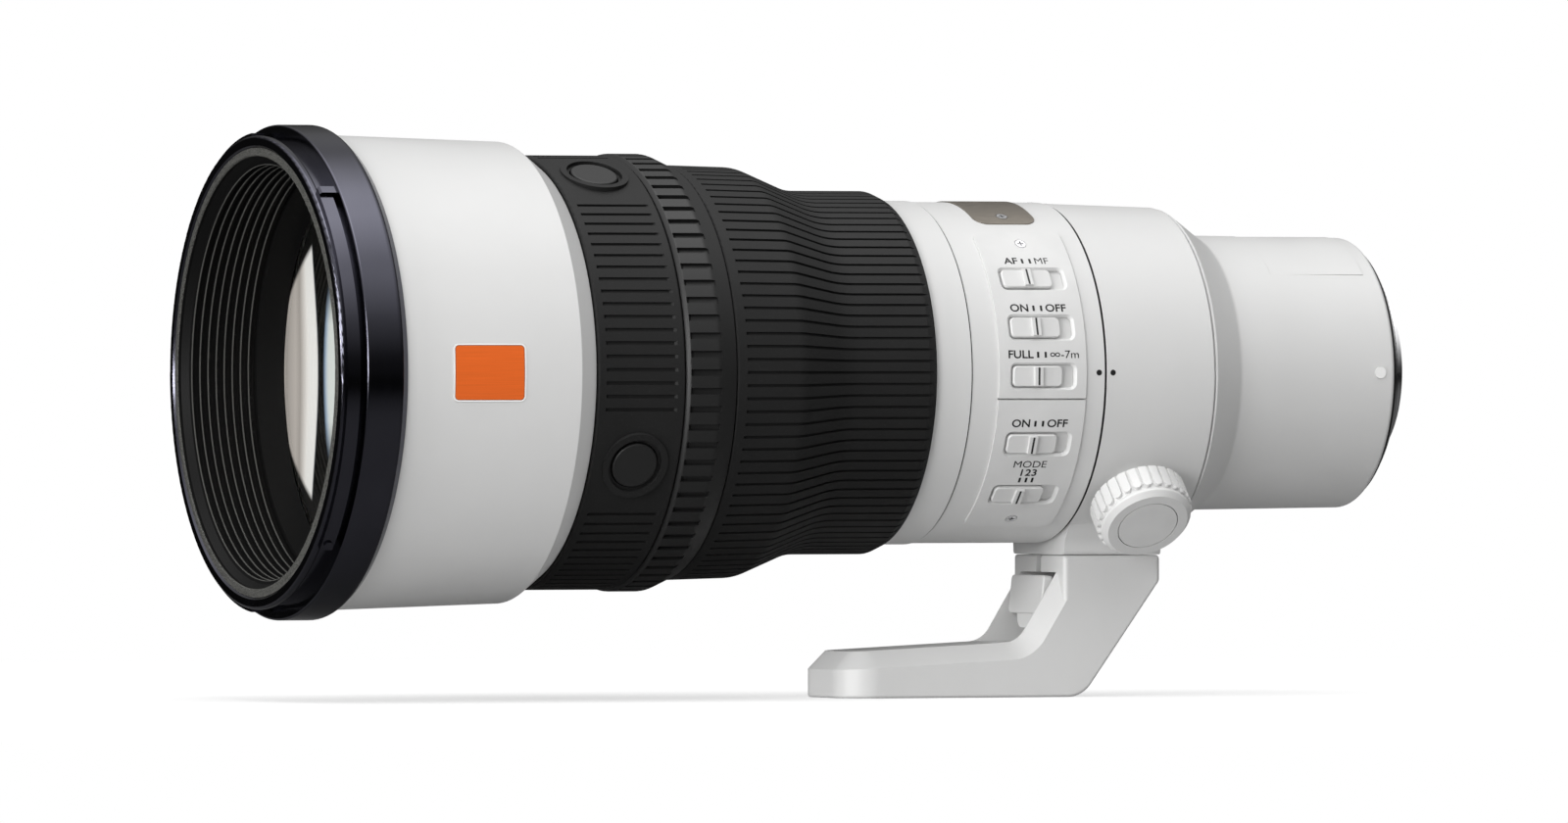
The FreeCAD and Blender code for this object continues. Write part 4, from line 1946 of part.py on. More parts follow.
def aperture_unit():
    """Closed aperture unit."""
    start = aperture_start()
    end = start + APERTURE_LENGTH
    return turned(
        [
            (start, APERTURE_BORE + APERTURE_MOUTH),
            (start, unit_radius()),
            (end, unit_radius()),
            (end, APERTURE_BORE),
            (end - APERTURE_LAND, APERTURE_BORE),
        ]
    )


def stabiliser_start():
    """Front face of the stabiliser's base ring."""
    return aperture_start() + APERTURE_LENGTH + UNIT_GAP


def stabiliser_base():
    """Fixed ring of the stabiliser with two keys that guide the cross slide."""
    start = stabiliser_start()
    end = start + STABILISER_BASE_LENGTH
    ring = turned(
        [
            (start, STABILISER_BORE),
            (start, unit_radius() - STABILISER_SIDE_ROOM),
            (end, unit_radius() - STABILISER_SIDE_ROOM),
            (end, STABILISER_BORE),
        ]
    )
    keys = [key_block(end, place) for place in (0, 2 * TOP_ANGLE)]
    return ring.fuse(keys)


def key_block(start, angle, margin=0.0):
    """A raised key on a stabiliser face, or with a margin the slot for it."""
    depth = STABILISER_KEY_HEIGHT + margin
    return radial_block(
        start + depth / 2,
        depth,
        STABILISER_KEY_WIDTH + 2 * margin,
        STABILISER_BORE + STABILISER_KEY_INSET - margin * STABILISER_SLOT_REACH,
        STABILISER_HOLDER_RADIUS - CUT_REACH + margin * STABILISER_SLOT_REACH,
        angle,
    )


def stabiliser_cross_slide():
    """Ring that moves sideways on the base and carries the keys of the lens holder."""
    start = stabiliser_start() + STABILISER_BASE_LENGTH + UNIT_GAP
    end = start + STABILISER_PLATE_LENGTH
    ring = turned(
        [
            (start, STABILISER_BORE),
            (start, STABILISER_SLIDE_RADIUS),
            (end, STABILISER_SLIDE_RADIUS),
            (end, STABILISER_BORE),
        ]
    )
    slots = [key_block(start, place, UNIT_GAP) for place in (0, 2 * TOP_ANGLE)]
    keys = [key_block(end, place) for place in (TOP_ANGLE, -TOP_ANGLE)]
    return ring.cut(slots).fuse(keys)


def holder_start():
    """Front face of the stabiliser's lens holder."""
    cross_slide = stabiliser_start() + STABILISER_BASE_LENGTH + UNIT_GAP
    return cross_slide + STABILISER_PLATE_LENGTH + UNIT_GAP


def stabiliser_lens_holder():
    """Holder of the stabiliser's glass, which moves up and down on the cross slide."""
    start = holder_start()
    end = start + STABILISER_PLATE_LENGTH + CUT_REACH
    seat = STABILISER_GLASS_RADIUS + GLASS_CLEARANCE
    ring = turned(
        [
            (start, seat),
            (start, STABILISER_HOLDER_RADIUS + STABILISER_HOLDER_WALL),
            (end, STABILISER_HOLDER_RADIUS + STABILISER_HOLDER_WALL),
            (end, seat - STABILISER_HOLDER_WALL),
            (end - STABILISER_LEDGE_THICKNESS, seat - STABILISER_HOLDER_WALL),
            (end - STABILISER_LEDGE_THICKNESS, seat),
        ]
    )
    slots = [key_block(start, place, UNIT_GAP) for place in (TOP_ANGLE, -TOP_ANGLE)]
    return ring.cut(slots)


def stabiliser_element():
    """Stabiliser glass in its holder."""
    bulges = (-STABILISER_FRONT_BULGE, -STABILISER_REAR_BULGE)
    return lens_glass(holder_start(), STABILISER_GLASS_RADIUS, STABILISER_PLATE_LENGTH, *bulges)


def all_nodes():
    """Every node of the lens by name."""
    nodes = {
        "hood_mount_ring": hood_mount_ring(),
        "front_baffle": front_baffle(),
        "front_element": front_element(),
        "front_cell": front_cell(),
        "front_barrel": front_barrel(),
        "badge_plate": badge_plate(),
        "main_tube": main_tube(),
        "second_element": second_element(),
        "third_element": third_element(),
        "hold_grip": hold_grip(),
        "function_ring": function_ring(),
        "focus_ring_sleeve": focus_ring_sleeve(),
        "focus_grip": focus_grip(),
        "trim_ring": trim_ring(),
        "switch_barrel": switch_barrel(),
        "upper_switch_plate": switch_plate(PLATE_TOP_ANGLE, PLATE_SPLIT_ANGLE + split_half()),
        "lower_switch_plate": switch_plate(PLATE_SPLIT_ANGLE - split_half(), PLATE_LOW_ANGLE),
        "panel_screws": panel_screws(),
        "name_plate": name_plate(),
        "circuit_board": circuit_board(),
        "collar_ring": collar_ring(),
        "collar_lock_knob": collar_lock_knob(),
        "lock_knob_cap": lock_knob_cap(),
        "lock_stud": lock_stud(),
        "foot": foot(),
        "foot_lever": foot_lever(),
        "lever_pin": lever_pin(),
        "large_thread_insert": thread_insert(0, LARGE_THREAD_RADIUS),
        "small_thread_insert": thread_insert(-SMALL_SOCKET_AHEAD, SMALL_THREAD_RADIUS),
        "rear_barrel": rear_barrel(),
        "filter_guide": filter_guide(),
        "filter_holder": filter_holder(),
        "filter_glass": filter_glass(),
        "mount_index_bead": mount_index_bead(),
        "mount_gasket": mount_gasket(),
        "mount_flange": mount_flange(),
        "mount_screws": mount_screws(),
        "rear_baffle": rear_baffle(),
        "contact_block": contact_block(),
        "contact_pins": contact_pins(),
        "rear_element": rear_element(),
        "guide_rods": guide_rods(),
        "focus_carriage": focus_carriage(),
        "focus_element": focus_element(),
        "focus_magnets": focus_magnets(),
        "aperture_unit": aperture_unit(),
        "stabiliser_base": stabiliser_base(),
        "stabiliser_cross_slide": stabiliser_cross_slide(),
        "stabiliser_lens_holder": stabiliser_lens_holder(),
        "stabiliser_element": stabiliser_element(),
    }
    for index, place in enumerate(angles(HOLD_BUTTON_COUNT, HOLD_BUTTON_ANGLE)):
        nodes["hold_button_" + str(index + 1)] = hold_button(place)
    for name, angle in SWITCH_ANGLES.items():
        nodes[name] = switch_knob(angle)
    return nodes


def split_half():
    """Half the gap between the two switch plates, as an angle."""
    return math.degrees(PLATE_SPLIT_GAP / 2 / SWITCH_BARREL_RADIUS)


os.makedirs("parts", exist_ok=True)
for node_name, node_shape in all_nodes().items():
    node_shape.exportStep("parts/" + node_name + ".step")
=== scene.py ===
"""Looks of a super telephoto lens: its finishes, printed marks and studio, laid out as a Blender add-on.

The lens points its front to -X and its camera end to +X, the switches are on the -Y side and the foot's
sole lies on the floor. Lengths are in metres, and "back" is the distance behind the front rim. Angles round
the axis are counted upwards from the horizontal on the switch side.
"""

import json
import math

import bpy
from bpy.props import FloatProperty, FloatVectorProperty, IntProperty, PointerProperty
from bpy.types import Operator, Panel, PropertyGroup
from mathutils import Euler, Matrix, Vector


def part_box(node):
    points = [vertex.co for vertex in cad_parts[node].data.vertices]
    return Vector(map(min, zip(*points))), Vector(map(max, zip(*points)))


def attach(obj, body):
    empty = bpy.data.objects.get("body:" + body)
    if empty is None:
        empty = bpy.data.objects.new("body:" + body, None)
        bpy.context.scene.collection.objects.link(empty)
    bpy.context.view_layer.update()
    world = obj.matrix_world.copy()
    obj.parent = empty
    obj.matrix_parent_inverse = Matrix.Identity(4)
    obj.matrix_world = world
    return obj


bl_info = {
    "name": "Super telephoto lens",
    "version": (1, 0, 0),
    "blender": (4, 5, 0),
    "location": "3D View > Sidebar > Lens",
    "description": "Gives a super telephoto lens its finishes, printed marks and studio",
    "category": "Object",
}

MM = 0.001
WHITE = (1.0, 1.0, 1.0, 1.0)

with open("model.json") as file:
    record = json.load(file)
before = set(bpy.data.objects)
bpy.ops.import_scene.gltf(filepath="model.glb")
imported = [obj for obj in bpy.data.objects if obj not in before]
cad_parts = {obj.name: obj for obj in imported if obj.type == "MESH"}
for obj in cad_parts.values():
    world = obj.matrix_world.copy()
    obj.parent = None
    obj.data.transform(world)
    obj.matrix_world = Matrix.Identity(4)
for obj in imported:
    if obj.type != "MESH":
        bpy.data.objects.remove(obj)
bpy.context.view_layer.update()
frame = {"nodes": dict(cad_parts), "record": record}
NODES = frame["nodes"]
SLOT_OF_NODE = {part["node"]: part["material_slot"] for part in frame["record"]["subparts"]}
BODY_OF_NODE = {node: body for body, nodes in frame["record"]["behaviour"]["bodies"].items() for node in nodes}


def middle(node):
    """Middle of a CAD node's box."""
    low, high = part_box(node)
    return (low + high) / 2


AXIS_HEIGHT = middle("rear_barrel").z
FRONT_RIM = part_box("hood_mount_ring")[0].x

# The white barrel's seams with the trim ring and the collar: where each starts and ends, and how far the painted
# shade of a seam, coloured dark as the shadow in its narrow gap, reaches over its edges.
BARREL_START, BARREL_END = (corner.x - FRONT_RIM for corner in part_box("switch_barrel"))
BARREL_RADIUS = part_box("switch_barrel")[1].z - AXIS_HEIGHT
TRIM_GROOVE_WIDTH = 0.35 * MM
COLLAR_GAP_WIDTH = 0.45 * MM
SEAMS = ((BARREL_START - TRIM_GROOVE_WIDTH, BARREL_START), (BARREL_END, BARREL_END + COLLAR_GAP_WIDTH))
SEAM_SHADE_REACH = 0.12 * MM
SEAM_PAINTED_SHADE = (0.02, 0.02, 0.02)

# The baffle: depth of its grainy front lip, and how much of each rib carries a painted highlight at its crest.
LIP_DEPTH = 0.5 * MM
CREST_HEIGHT = 0.14 * MM

# The front glass: its broad band of light and its narrow strip bend to the far side by these factors times the
# square of the height above the axis.
BAND_BEND = 15.4
STRIP_BEND = 1.2

# The orange plate: how far its dark inner line, painted shade as of a groove, reaches, in widths of the pale border.
GROOVE_SHADE_REACH = 1.4

# Letters: size of a text object for each metre of letter height, how much wider than the font's own they are, and
# how far their outline grows for each metre of height. The fine ones close up when theirs grows, so it stays.
LETTER_SIZE_FACTOR = 1.38
LETTER_WIDTH_FACTOR = 1.16
LETTER_BOLDNESS = 0.026
FINE_LETTERS = "M∞"

# Radius at which a flat mark starts before it is pressed onto the barrel.
PANEL_RADIUS = 48 * MM

# The rows of words by the switches: the angle in degrees and the words on both sides of the row's ticks.
SWITCH_ROWS = {
    "upper_switch_plate": ((39.9, "AF", "MF"), (21.7, "ON", "OFF"), (5.9, "FULL", "∞-7m")),
    "lower_switch_plate": ((-17.1, "ON", "OFF"),),
}
LEFT_WORD_END = 194.6 * MM
RIGHT_WORD_START = 199.1 * MM
ROW_TICKS = (195.9 * MM, 198.0 * MM)

# The lowest switch has a word, three numbers and a tick under each number.
MODE_WORD = "MODE"
MODE_WORD_BACK = 196.5 * MM
MODE_WORD_ANGLE = math.radians(-32.0)
MODE_NUMBERS = (194.8 * MM, 196.6 * MM, 198.3 * MM)
MODE_NUMBER_ANGLE = math.radians(-35.3)
MODE_TICK_ANGLE = math.radians(-38.2)

# The dots on both sides of the collar's seam, one on each side and one on top.
DOTS = {"switch_barrel": 213.0 * MM, "collar_ring": 217.0 * MM}
DOT_ANGLES = (0.0, 90.0, 180.0)

# Light that reaches the bare floor, as a share of what makes it plain white.
FLOOR_LIGHT = 0.75

# The lamps: where each hangs, and the side of its square.
LAMPS = {
    "key": ((-0.3, -0.9, 2.2), 1.6),
    "fill": ((-2.5, -1.9, 0.45), 1.5),
    "front": ((-3.0, -0.7, 0.15), 0.5),
}


def angle_of(node):
    """Angle of the part of a CAD node farthest from the axis, such as the ridge of a knob."""
    ridge_depth = 0.1 * MM
    places = [(vertex.co.y, vertex.co.z - AXIS_HEIGHT) for vertex in NODES[node].data.vertices]
    reach = max(math.hypot(side, up) for side, up in places)
    angles = [math.atan2(up, -side) for side, up in places if math.hypot(side, up) > reach - ridge_depth]
    return (min(angles) + max(angles)) / 2


class Value:
    """A socket that takes part in Python arithmetic: each sum adds its Math node."""

    def __init__(self, network, socket):
        self.network = network
        self.socket = socket

    def maths(self, operation, *values):
        return self.network.add("ShaderNodeMath", {"operation": operation}, dict(enumerate(values)))

    def output(self, name):
        """Another output of the same node."""
        return Value(self.network, self.socket.node.outputs[name])

    def __add__(self, other):
        return self.maths("ADD", self, other)

    __radd__ = __add__

    def __sub__(self, other):
        return self.maths("SUBTRACT", self, other)

    def __rsub__(self, other):
        return self.maths("SUBTRACT", other, self)

    def __mul__(self, other):
        return self.maths("MULTIPLY", self, other)

    __rmul__ = __mul__

    def __truediv__(self, other):
        return self.maths("DIVIDE", self, other)

    def __pow__(self, other):
        return self.maths("POWER", self, other)

    def __abs__(self):
        return self.maths("ABSOLUTE", self)

    def __gt__(self, other):
        return self.maths("GREATER_THAN", self, other)

    def __lt__(self, other):
        return self.maths("LESS_THAN", self, other)


class Network:
    """The nodes of a material or of the world."""

    def __init__(self, tree):
        self.tree = tree

    def plug(self, socket, value):
        """Links a value to a socket, or sets a plain number or colour on it."""
        if isinstance(value, Value):
            self.tree.links.new(value.socket, socket)
        else:
            socket.default_value = value

    def add(self, kind, settings, values, output=0):
        """Adds a node: its settings come first, then the values or links of its sockets."""
        node = self.tree.nodes.new(kind)
        for name, value in settings.items():
            if name == "stops":
                self.set_stops(node.color_ramp, value)
            else:
                setattr(node, name, value)
        for socket, value in values.items():
            self.plug(node.inputs[socket], value)
        return Value(self, node.outputs[output])

    @staticmethod
    def set_stops(ramp, stops):
        while len(ramp.elements) < len(stops):
            ramp.elements.new(1.0)
        for element, (place, shade) in zip(ramp.elements, stops):
            element.position = place
            element.color = (shade, shade, shade, 1.0)

    def place(self):
        """Object coordinates, in metres."""
        return self.add("ShaderNodeTexCoord", {}, {}, "Object")

    def axes(self):
        """Distances in metres from the optical axis: back from the front rim, to the far side, and up."""
        parts = self.add("ShaderNodeSeparateXYZ", {}, {0: self.place()}, "X")
        return parts - FRONT_RIM, parts.output("Y"), parts.output("Z") - AXIS_HEIGHT

    def round_axis(self, along_scale, round_scale):
        """Coordinates that follow the barrel: along the axis, round it, and none across the wall."""
        back, side, up = self.axes()
        turn = side.maths("ARCTAN2", side, up)
        return self.add("ShaderNodeCombineXYZ", {}, {0: back * along_scale, 1: turn * round_scale})

    def noise(self, scale, detail=3.0, place=None):
        """Cloudy value near one half, with lumps about 1 / scale metres across."""
        values = {"Vector": place or self.place(), "Scale": scale, "Detail": detail}
        return self.add("ShaderNodeTexNoise", {}, values)

    def ramp(self, value, *stops):
        """Value looked up on a ramp of (place, shade) stops."""
        return self.add("ShaderNodeValToRGB", {"stops": stops}, {0: value})

    def mix(self, share, first, second):
        """Colour that goes from first to second as share goes from 0 to 1."""
        values = {0: share}
        for socket, colour in ((6, first), (7, second)):
            values[socket] = colour if isinstance(colour, Value) else (*colour[:3], 1.0)
        return self.add("ShaderNodeMix", {"data_type": "RGBA"}, values, 2)

    def seen(self):
        """1 for what the camera sees straight or through glass, else 0."""
        path = self.add("ShaderNodeLightPath", {}, {}, "Is Camera Ray")
        total = path + path.output("Is Transmission Ray")
        return total.maths("MINIMUM", total, 1.0)


class Finish(Network):
    """A material under construction."""

    def __init__(self, name, colour, roughness, **constants):
        self.material = bpy.data.materials.new(name)
        self.material.use_nodes = True
        self.material.diffuse_color = (*colour[:3], 1.0)
        super().__init__(self.material.node_tree)
        self.shader = self.tree.nodes["Principled BSDF"]
        self.output = self.tree.nodes["Material Output"]
        self.shader.inputs["Base Color"].default_value = (*colour[:3], 1.0)
        self.shader.inputs["Roughness"].default_value = roughness
        for socket, value in constants.items():
            # coat_ior, say, names the socket "Coat IOR"
            self.shader.inputs[socket.replace("_", " ").title().replace("Ior", "IOR")].default_value = value

    def varies(self, socket, value):
        """Lets a socket of the shader follow a value."""
        self.plug(self.shader.inputs[socket], value)

    def bumps(self, height, depth):
        """Raises the surface by up to depth metres where height is 1."""
        values = {"Height": height, "Distance": depth, "Strength": 1.0}
        self.varies("Normal", self.add("ShaderNodeBump", {}, values))

    def dress(self, *nodes):
        """Puts the material on CAD nodes."""
        for node in nodes:
            mesh = NODES[node].data
            mesh.materials.clear()
            mesh.materials.append(self.material)

    def dress_slot(self, slot):
        """Puts the material on every CAD node of one material slot."""
        nodes = [node for node, its_slot in SLOT_OF_NODE.items() if its_slot == slot]
        if not nodes:
            raise RuntimeError(f"no piece has the material slot {slot}")
        self.dress(*nodes)


def tinted(colour, factor):
    """Colour made darker or lighter by a factor."""
    return tuple(channel * factor for channel in colour[:3])


def white_enamel(name, colour, roughness, grain_depth):
    """Baked enamel: a fine even grain, with faint clouds in its gloss, and painted shade, dark, in and beside the
    barrel's seams.
    """
    finish = Finish(name, colour, roughness)
    grain = finish.noise(3200.0, 2.0)
    clouds = finish.noise(60.0, 2.0)
    back, side, up = finish.axes()
    on_barrels = (side**2 + up**2) ** 0.5 < BARREL_RADIUS + SEAM_SHADE_REACH
    trim, collar = [(back > start - SEAM_SHADE_REACH) * (back < end + SEAM_SHADE_REACH) for start, end in SEAMS]
    painted = finish.mix(clouds, tinted(colour, 0.975), tinted(colour, 1.02))
    # Painted shade: the seams' gaps and their edges on the barrels are coloured dark, as their shadow.
    finish.varies("Base Color", finish.mix(on_barrels * (trim + collar), painted, SEAM_PAINTED_SHADE))
    finish.varies("Roughness", roughness - 0.05 + clouds * 0.1)
    finish.bumps(grain, grain_depth)
    return finish


def rubber(name, colour):
    """Moulded rubber: matte, with a dusty grain and paler specks."""
    finish = Finish(name, colour, 0.6, specular_ior_level=0.25)
    grain = finish.noise(4500.0, 3.0)
    clouds = finish.noise(90.0, 3.0)
    specks = finish.ramp(finish.noise(2600.0, 1.0), (0.62, 0.0), (0.74, 1.0))
    plain = finish.mix(clouds, tinted(colour, 0.85), tinted(colour, 1.15))
    finish.varies("Base Color", finish.mix(specks * 0.35, plain, tinted(colour, 2.2)))
    finish.varies("Roughness", 0.52 + grain * 0.16)
    finish.bumps(grain, 0.02 * MM)
    return finish


def anodised(name, colour, roughness, metallic=0.55):
    """Turned and anodised metal: fine rings round the axis and a sheen that varies a little."""
    finish = Finish(name, colour, roughness, metallic=metallic)
    rings = finish.noise(1.0, 2.0, finish.round_axis(5200.0, 2.0))
    clouds = finish.noise(45.0, 2.0)
    finish.varies("Base Color", finish.mix(clouds, tinted(colour, 0.85), tinted(colour, 1.15)))
    finish.varies("Roughness", roughness - 0.06 + rings * 0.12)
    finish.bumps(rings, 0.004 * MM)
    return finish


def moulded_plastic(name, colour, roughness):
    """Moulded plastic with the fine erosion grain of its tool."""
    finish = Finish(name, colour, roughness)
    grain = finish.noise(5200.0, 2.0)
    clouds = finish.noise(120.0, 2.0)
    finish.varies("Base Color", finish.mix(clouds, tinted(colour, 0.93), tinted(colour, 1.07)))
    finish.varies("Roughness", roughness - 0.06 + grain * 0.12)
    finish.bumps(grain, 0.012 * MM)
    return finish


def brushed_metal(name, colour, roughness, along_scale, round_scale, metallic=1.0):
    """Metal brushed along the axis or round it, as the two scales say."""
    finish = Finish(name, colour, roughness, metallic=metallic)
    strokes = finish.noise(1.0, 3.0, finish.round_axis(along_scale, round_scale))
    finish.varies("Base Color", finish.mix(strokes, tinted(colour, 0.8), tinted(colour, 1.15)))
    finish.varies("Roughness", roughness - 0.08 + strokes * 0.16)
    finish.bumps(strokes, 0.003 * MM)
    return finish


def baffle_black(crest_radius, rib_end):
    """Black paint, with a painted highlight along the ribs' crests, and grainy on the front lip."""
    dark = (0.004, 0.004, 0.004)
    finish = Finish("baffle_black", dark, 0.5, specular_ior_level=0.12)
    back, side, up = finish.axes()
    radius = (side**2 + up**2) ** 0.5
    crest = (radius < crest_radius + CREST_HEIGHT) * (back < rib_end)
    lip = back < LIP_DEPTH
    grain = finish.noise(3500.0, 2.0)
    lip_colour = finish.mix(finish.ramp(grain, (0.4, 0.0), (0.6, 1.0)), (0.03, 0.03, 0.028), (0.12, 0.12, 0.112))
    # Painted highlight: the crests are coloured pale where they catch the light.
    crest_highlight = finish.mix(crest, dark, (0.09, 0.09, 0.085))
    finish.varies("Base Color", finish.mix(lip, crest_highlight, lip_colour))
    finish.varies("Roughness", 0.42 + grain * 0.16)
    finish.bumps(grain, 0.015 * MM)
    return finish


def coated_glass(name):
    """Lens glass with a coating that tints its gloss."""
    finish = Finish(
        name, (0.98, 0.985, 0.975), 0.0, transmission_weight=1.0, ior=1.6,
        coat_weight=0.6, coat_roughness=0.02, coat_ior=1.9, coat_tint=(1.0, 0.99, 0.96, 1.0),
    )
    finish.varies("Roughness", finish.noise(35.0, 1.0) * 0.02)
    return finish


def front_glass(radius):
    """The large front glass: seen from the side, it shows the bright studio in two upright bands.

    The glass gives off the bands' light itself: a broad cream band, and a narrow blue strip on its near side.
    Each follows a bent coordinate and runs out at its ends. Seen straight on, the glass shows neither.
    """
    finish = coated_glass("front_glass")
    _, side, up = finish.axes()
    bend = up**2
    across_band = (side - bend * BAND_BEND) / radius
    across_strip = (side - bend * STRIP_BEND) / radius
    band = finish.ramp(
        across_band, (0.165, 0.0), (0.19, 0.9), (0.34, 0.9), (0.49, 0.42), (0.6, 0.56), (0.95, 0.42), (0.985, 0.8)
    )
    strip = finish.ramp(across_strip, (0.0, 0.75), (0.05, 0.7), (0.085, 0.35), (0.1, 0.0))
    band_ends = finish.ramp((side + abs(up) * 1.85) * 5.0, (0.405, 1.0), (0.43, 0.0))
    strip_ends = finish.ramp(bend * 1000.0, (0.15, 1.0), (0.5, 0.0))
    cream = finish.mix(finish.ramp(across_band, (0.3, 0.0), (0.49, 1.0)), (1.0, 1.0, 0.98), (1.0, 0.93, 0.87))
    blue = finish.mix(finish.ramp(across_strip, (0.03, 0.0), (0.09, 1.0)), (0.93, 1.0, 0.97), (0.5, 0.7, 1.0))
    bright = finish.mix(across_band > 0.17, blue, cream)
    level = band * band_ends + strip * strip_ends * (across_band < 0.165)
    facing = finish.add("ShaderNodeLayerWeight", {}, {"Blend": 0.5}, "Facing")
    aslant = finish.ramp(facing, (0.38, 0.0), (0.52, 1.0))
    outside = 1.0 - finish.add("ShaderNodeNewGeometry", {}, {}, "Backfacing")
    finish.varies("Emission Color", finish.mix(level * aslant * outside, (0.0, 0.0, 0.0), bright))
    finish.shader.inputs["Emission Strength"].default_value = 1.0
    return finish


def bordered_plate(name, colour, node, border, corner):
    """Enamelled plate, brushed along the axis, with a white border that has round corners and a dark inner line of
    painted shade.
    """
    finish = Finish(name, colour, 0.42, specular_ior_level=0.25)
    low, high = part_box(node)
    centre = middle(node)
    back, _, up = finish.axes()
    strokes = finish.noise(1.0, 3.0, finish.round_axis(70.0, 260.0))
    brushed = finish.mix(strokes, tinted(colour, 0.86), tinted(colour, 1.12))
    along = abs(back - (centre.x - FRONT_RIM)) - ((high.x - low.x) / 2 - corner)
    across = abs(up - (centre.z - AXIS_HEIGHT)) - ((high.z - low.z) / 2 - corner)
    reach = (along.maths("MAXIMUM", along, 0.0) ** 2 + across.maths("MAXIMUM", across, 0.0) ** 2) ** 0.5
    edge = reach > corner - border
    groove_shade = reach > corner - border * GROOVE_SHADE_REACH
    # Painted shade: a dark line just inside the border, as the shadow of a groove.
    with_groove_shade = finish.mix(groove_shade, brushed, tinted(colour, 0.25))
    finish.varies("Base Color", finish.mix(edge, with_groove_shade, (0.93, 0.93, 0.92)))
    finish.varies("Roughness", 0.36 + strokes * 0.14)
    finish.bumps(strokes, 0.003 * MM)
    return finish


class LensColours(PropertyGroup):
    """Colours of the lens."""

    white: FloatVectorProperty(
        name="White enamel", description="Colour of the painted metal", subtype="COLOR", default=(0.72, 0.72, 0.715)
    )
    plastic_white: FloatVectorProperty(
        name="White plastic", description="Colour of plates, knobs and the lock knob", subtype="COLOR",
        default=(0.72, 0.72, 0.715),
    )
    black_metal: FloatVectorProperty(
        name="Black metal", description="Colour of the anodised front ring", subtype="COLOR",
        default=(0.085, 0.085, 0.105),
    )
    rubber: FloatVectorProperty(
        name="Rubber", description="Colour of the grips", subtype="COLOR", default=(0.014, 0.014, 0.014)
    )
    orange: FloatVectorProperty(
        name="Orange plate", description="Colour of the plate on the front barrel", subtype="COLOR",
        default=(0.80, 0.14, 0.02),
    )
    bronze: FloatVectorProperty(
        name="Bronze plate", description="Colour of the plate on top", subtype="COLOR", default=(0.27, 0.242, 0.205)
    )
    print_black: FloatVectorProperty(
        name="Print", description="Colour of the printed marks", subtype="COLOR", default=(0.006, 0.006, 0.006)
    )


class LensSizes(PropertyGroup):
    """Sizes of the printed marks, the orange plate's border, the baffle's ribs and the front glass."""

    letter_height: FloatProperty(
        name="Letter height", description="Height of the letters by the switches", unit="LENGTH", default=2.05 * MM
    )
    tick_length: FloatProperty(
        name="Tick length", description="Length of the position ticks", unit="LENGTH", default=1.5 * MM
    )
    tick_width: FloatProperty(
        name="Tick width", description="Width of the position ticks", unit="LENGTH", default=0.6 * MM
    )
    ink_thickness: FloatProperty(
        name="Ink thickness", description="How far a printed mark stands proud", unit="LENGTH", default=0.03 * MM
    )
    line_width: FloatProperty(
        name="Knob line width", description="Width of the dark line on a switch knob", unit="LENGTH",
        default=0.5 * MM,
    )
    line_length: FloatProperty(
        name="Knob line length", description="Length of the dark line on a switch knob", unit="LENGTH",
        default=4.5 * MM,
    )
    dot_radius: FloatProperty(
        name="Dot radius", description="Radius of the dark dots by the collar's seam", unit="LENGTH",
        default=0.75 * MM,
    )
    border_width: FloatProperty(
        name="Border width", description="Width of the orange plate's pale border", unit="LENGTH", default=0.42 * MM
    )
    border_corner: FloatProperty(
        name="Border corner", description="Radius of the orange plate's corners", unit="LENGTH", default=1.5 * MM
    )
    crest_radius: FloatProperty(
        name="Crest radius", description="Radius of the baffle's rib crests", unit="LENGTH", default=52.3 * MM
    )
    rib_end: FloatProperty(
        name="Rib end", description="Where the baffle's ribs end", unit="LENGTH", default=19.5 * MM
    )
    glass_radius: FloatProperty(
        name="Glass radius", description="Radius of the front glass", unit="LENGTH", default=52 * MM
    )
    dot_sides: IntProperty(name="Dot sides", description="Corners of a round dot", default=32, min=8)


class StudioSizes(PropertyGroup):
    """The camera, the dome, the floor and the lamps."""

    focal_length: FloatProperty(
        name="Focal length", description="Focal length of the camera's own lens", unit="CAMERA", default=405.0
    )
    view_turn: FloatProperty(
        name="View turn", description="How far the camera is turned to the lens's front", subtype="ANGLE",
        unit="ROTATION", default=math.radians(23.1),
    )
    distance: FloatProperty(
        name="Distance", description="From the camera to the tripod socket, along the view", unit="LENGTH",
        default=4.508,
    )
    aside: FloatProperty(
        name="Aside", description="How far right of the picture's middle the socket lies", unit="LENGTH",
        default=0.0445,
    )
    rise: FloatProperty(
        name="Rise", description="Share of the picture's width that the axis lies above its middle", default=0.0248
    )
    world_strength: FloatProperty(name="Dome light", description="Brightness of the dome overhead", default=1.17)
    floor_shade: FloatProperty(
        name="Floor shade", description="How much light the floor gives back under the front", subtype="FACTOR",
        default=0.6,
    )
    # Painted shade: the floor's colour darkens under the camera end, for the weaker light there.
    floor_fall: FloatProperty(
        name="Floor fall", description="How much less the floor gives back under the camera end", subtype="FACTOR",
        default=0.2,
    )
    gloss_fall: FloatProperty(
        name="Gloss fall", description="How much darker the floor is in the lens's gloss", subtype="FACTOR",
        default=0.7,
    )
    back_fall: FloatProperty(
        name="Back fall", description="How much darker the dome is behind the lens", subtype="FACTOR",
        default=0.6,
    )
    gloss_rise: FloatProperty(
        name="Gloss rise", description="How much brighter the top of the dome is in the lens's gloss", default=1.3
    )
    key_power: FloatProperty(name="Key light", description="Power of the large lamp above", unit="POWER", default=10.0)
    fill_power: FloatProperty(
        name="Fill light", description="Power of the lamp beside the front", unit="POWER", default=62.0
    )
    front_power: FloatProperty(
        name="Front light", description="Power of the low lamp ahead of the lens", unit="POWER", default=34.0
    )
    floor_radius: FloatProperty(name="Floor radius", description="Radius of the floor", unit="LENGTH", default=3.0)


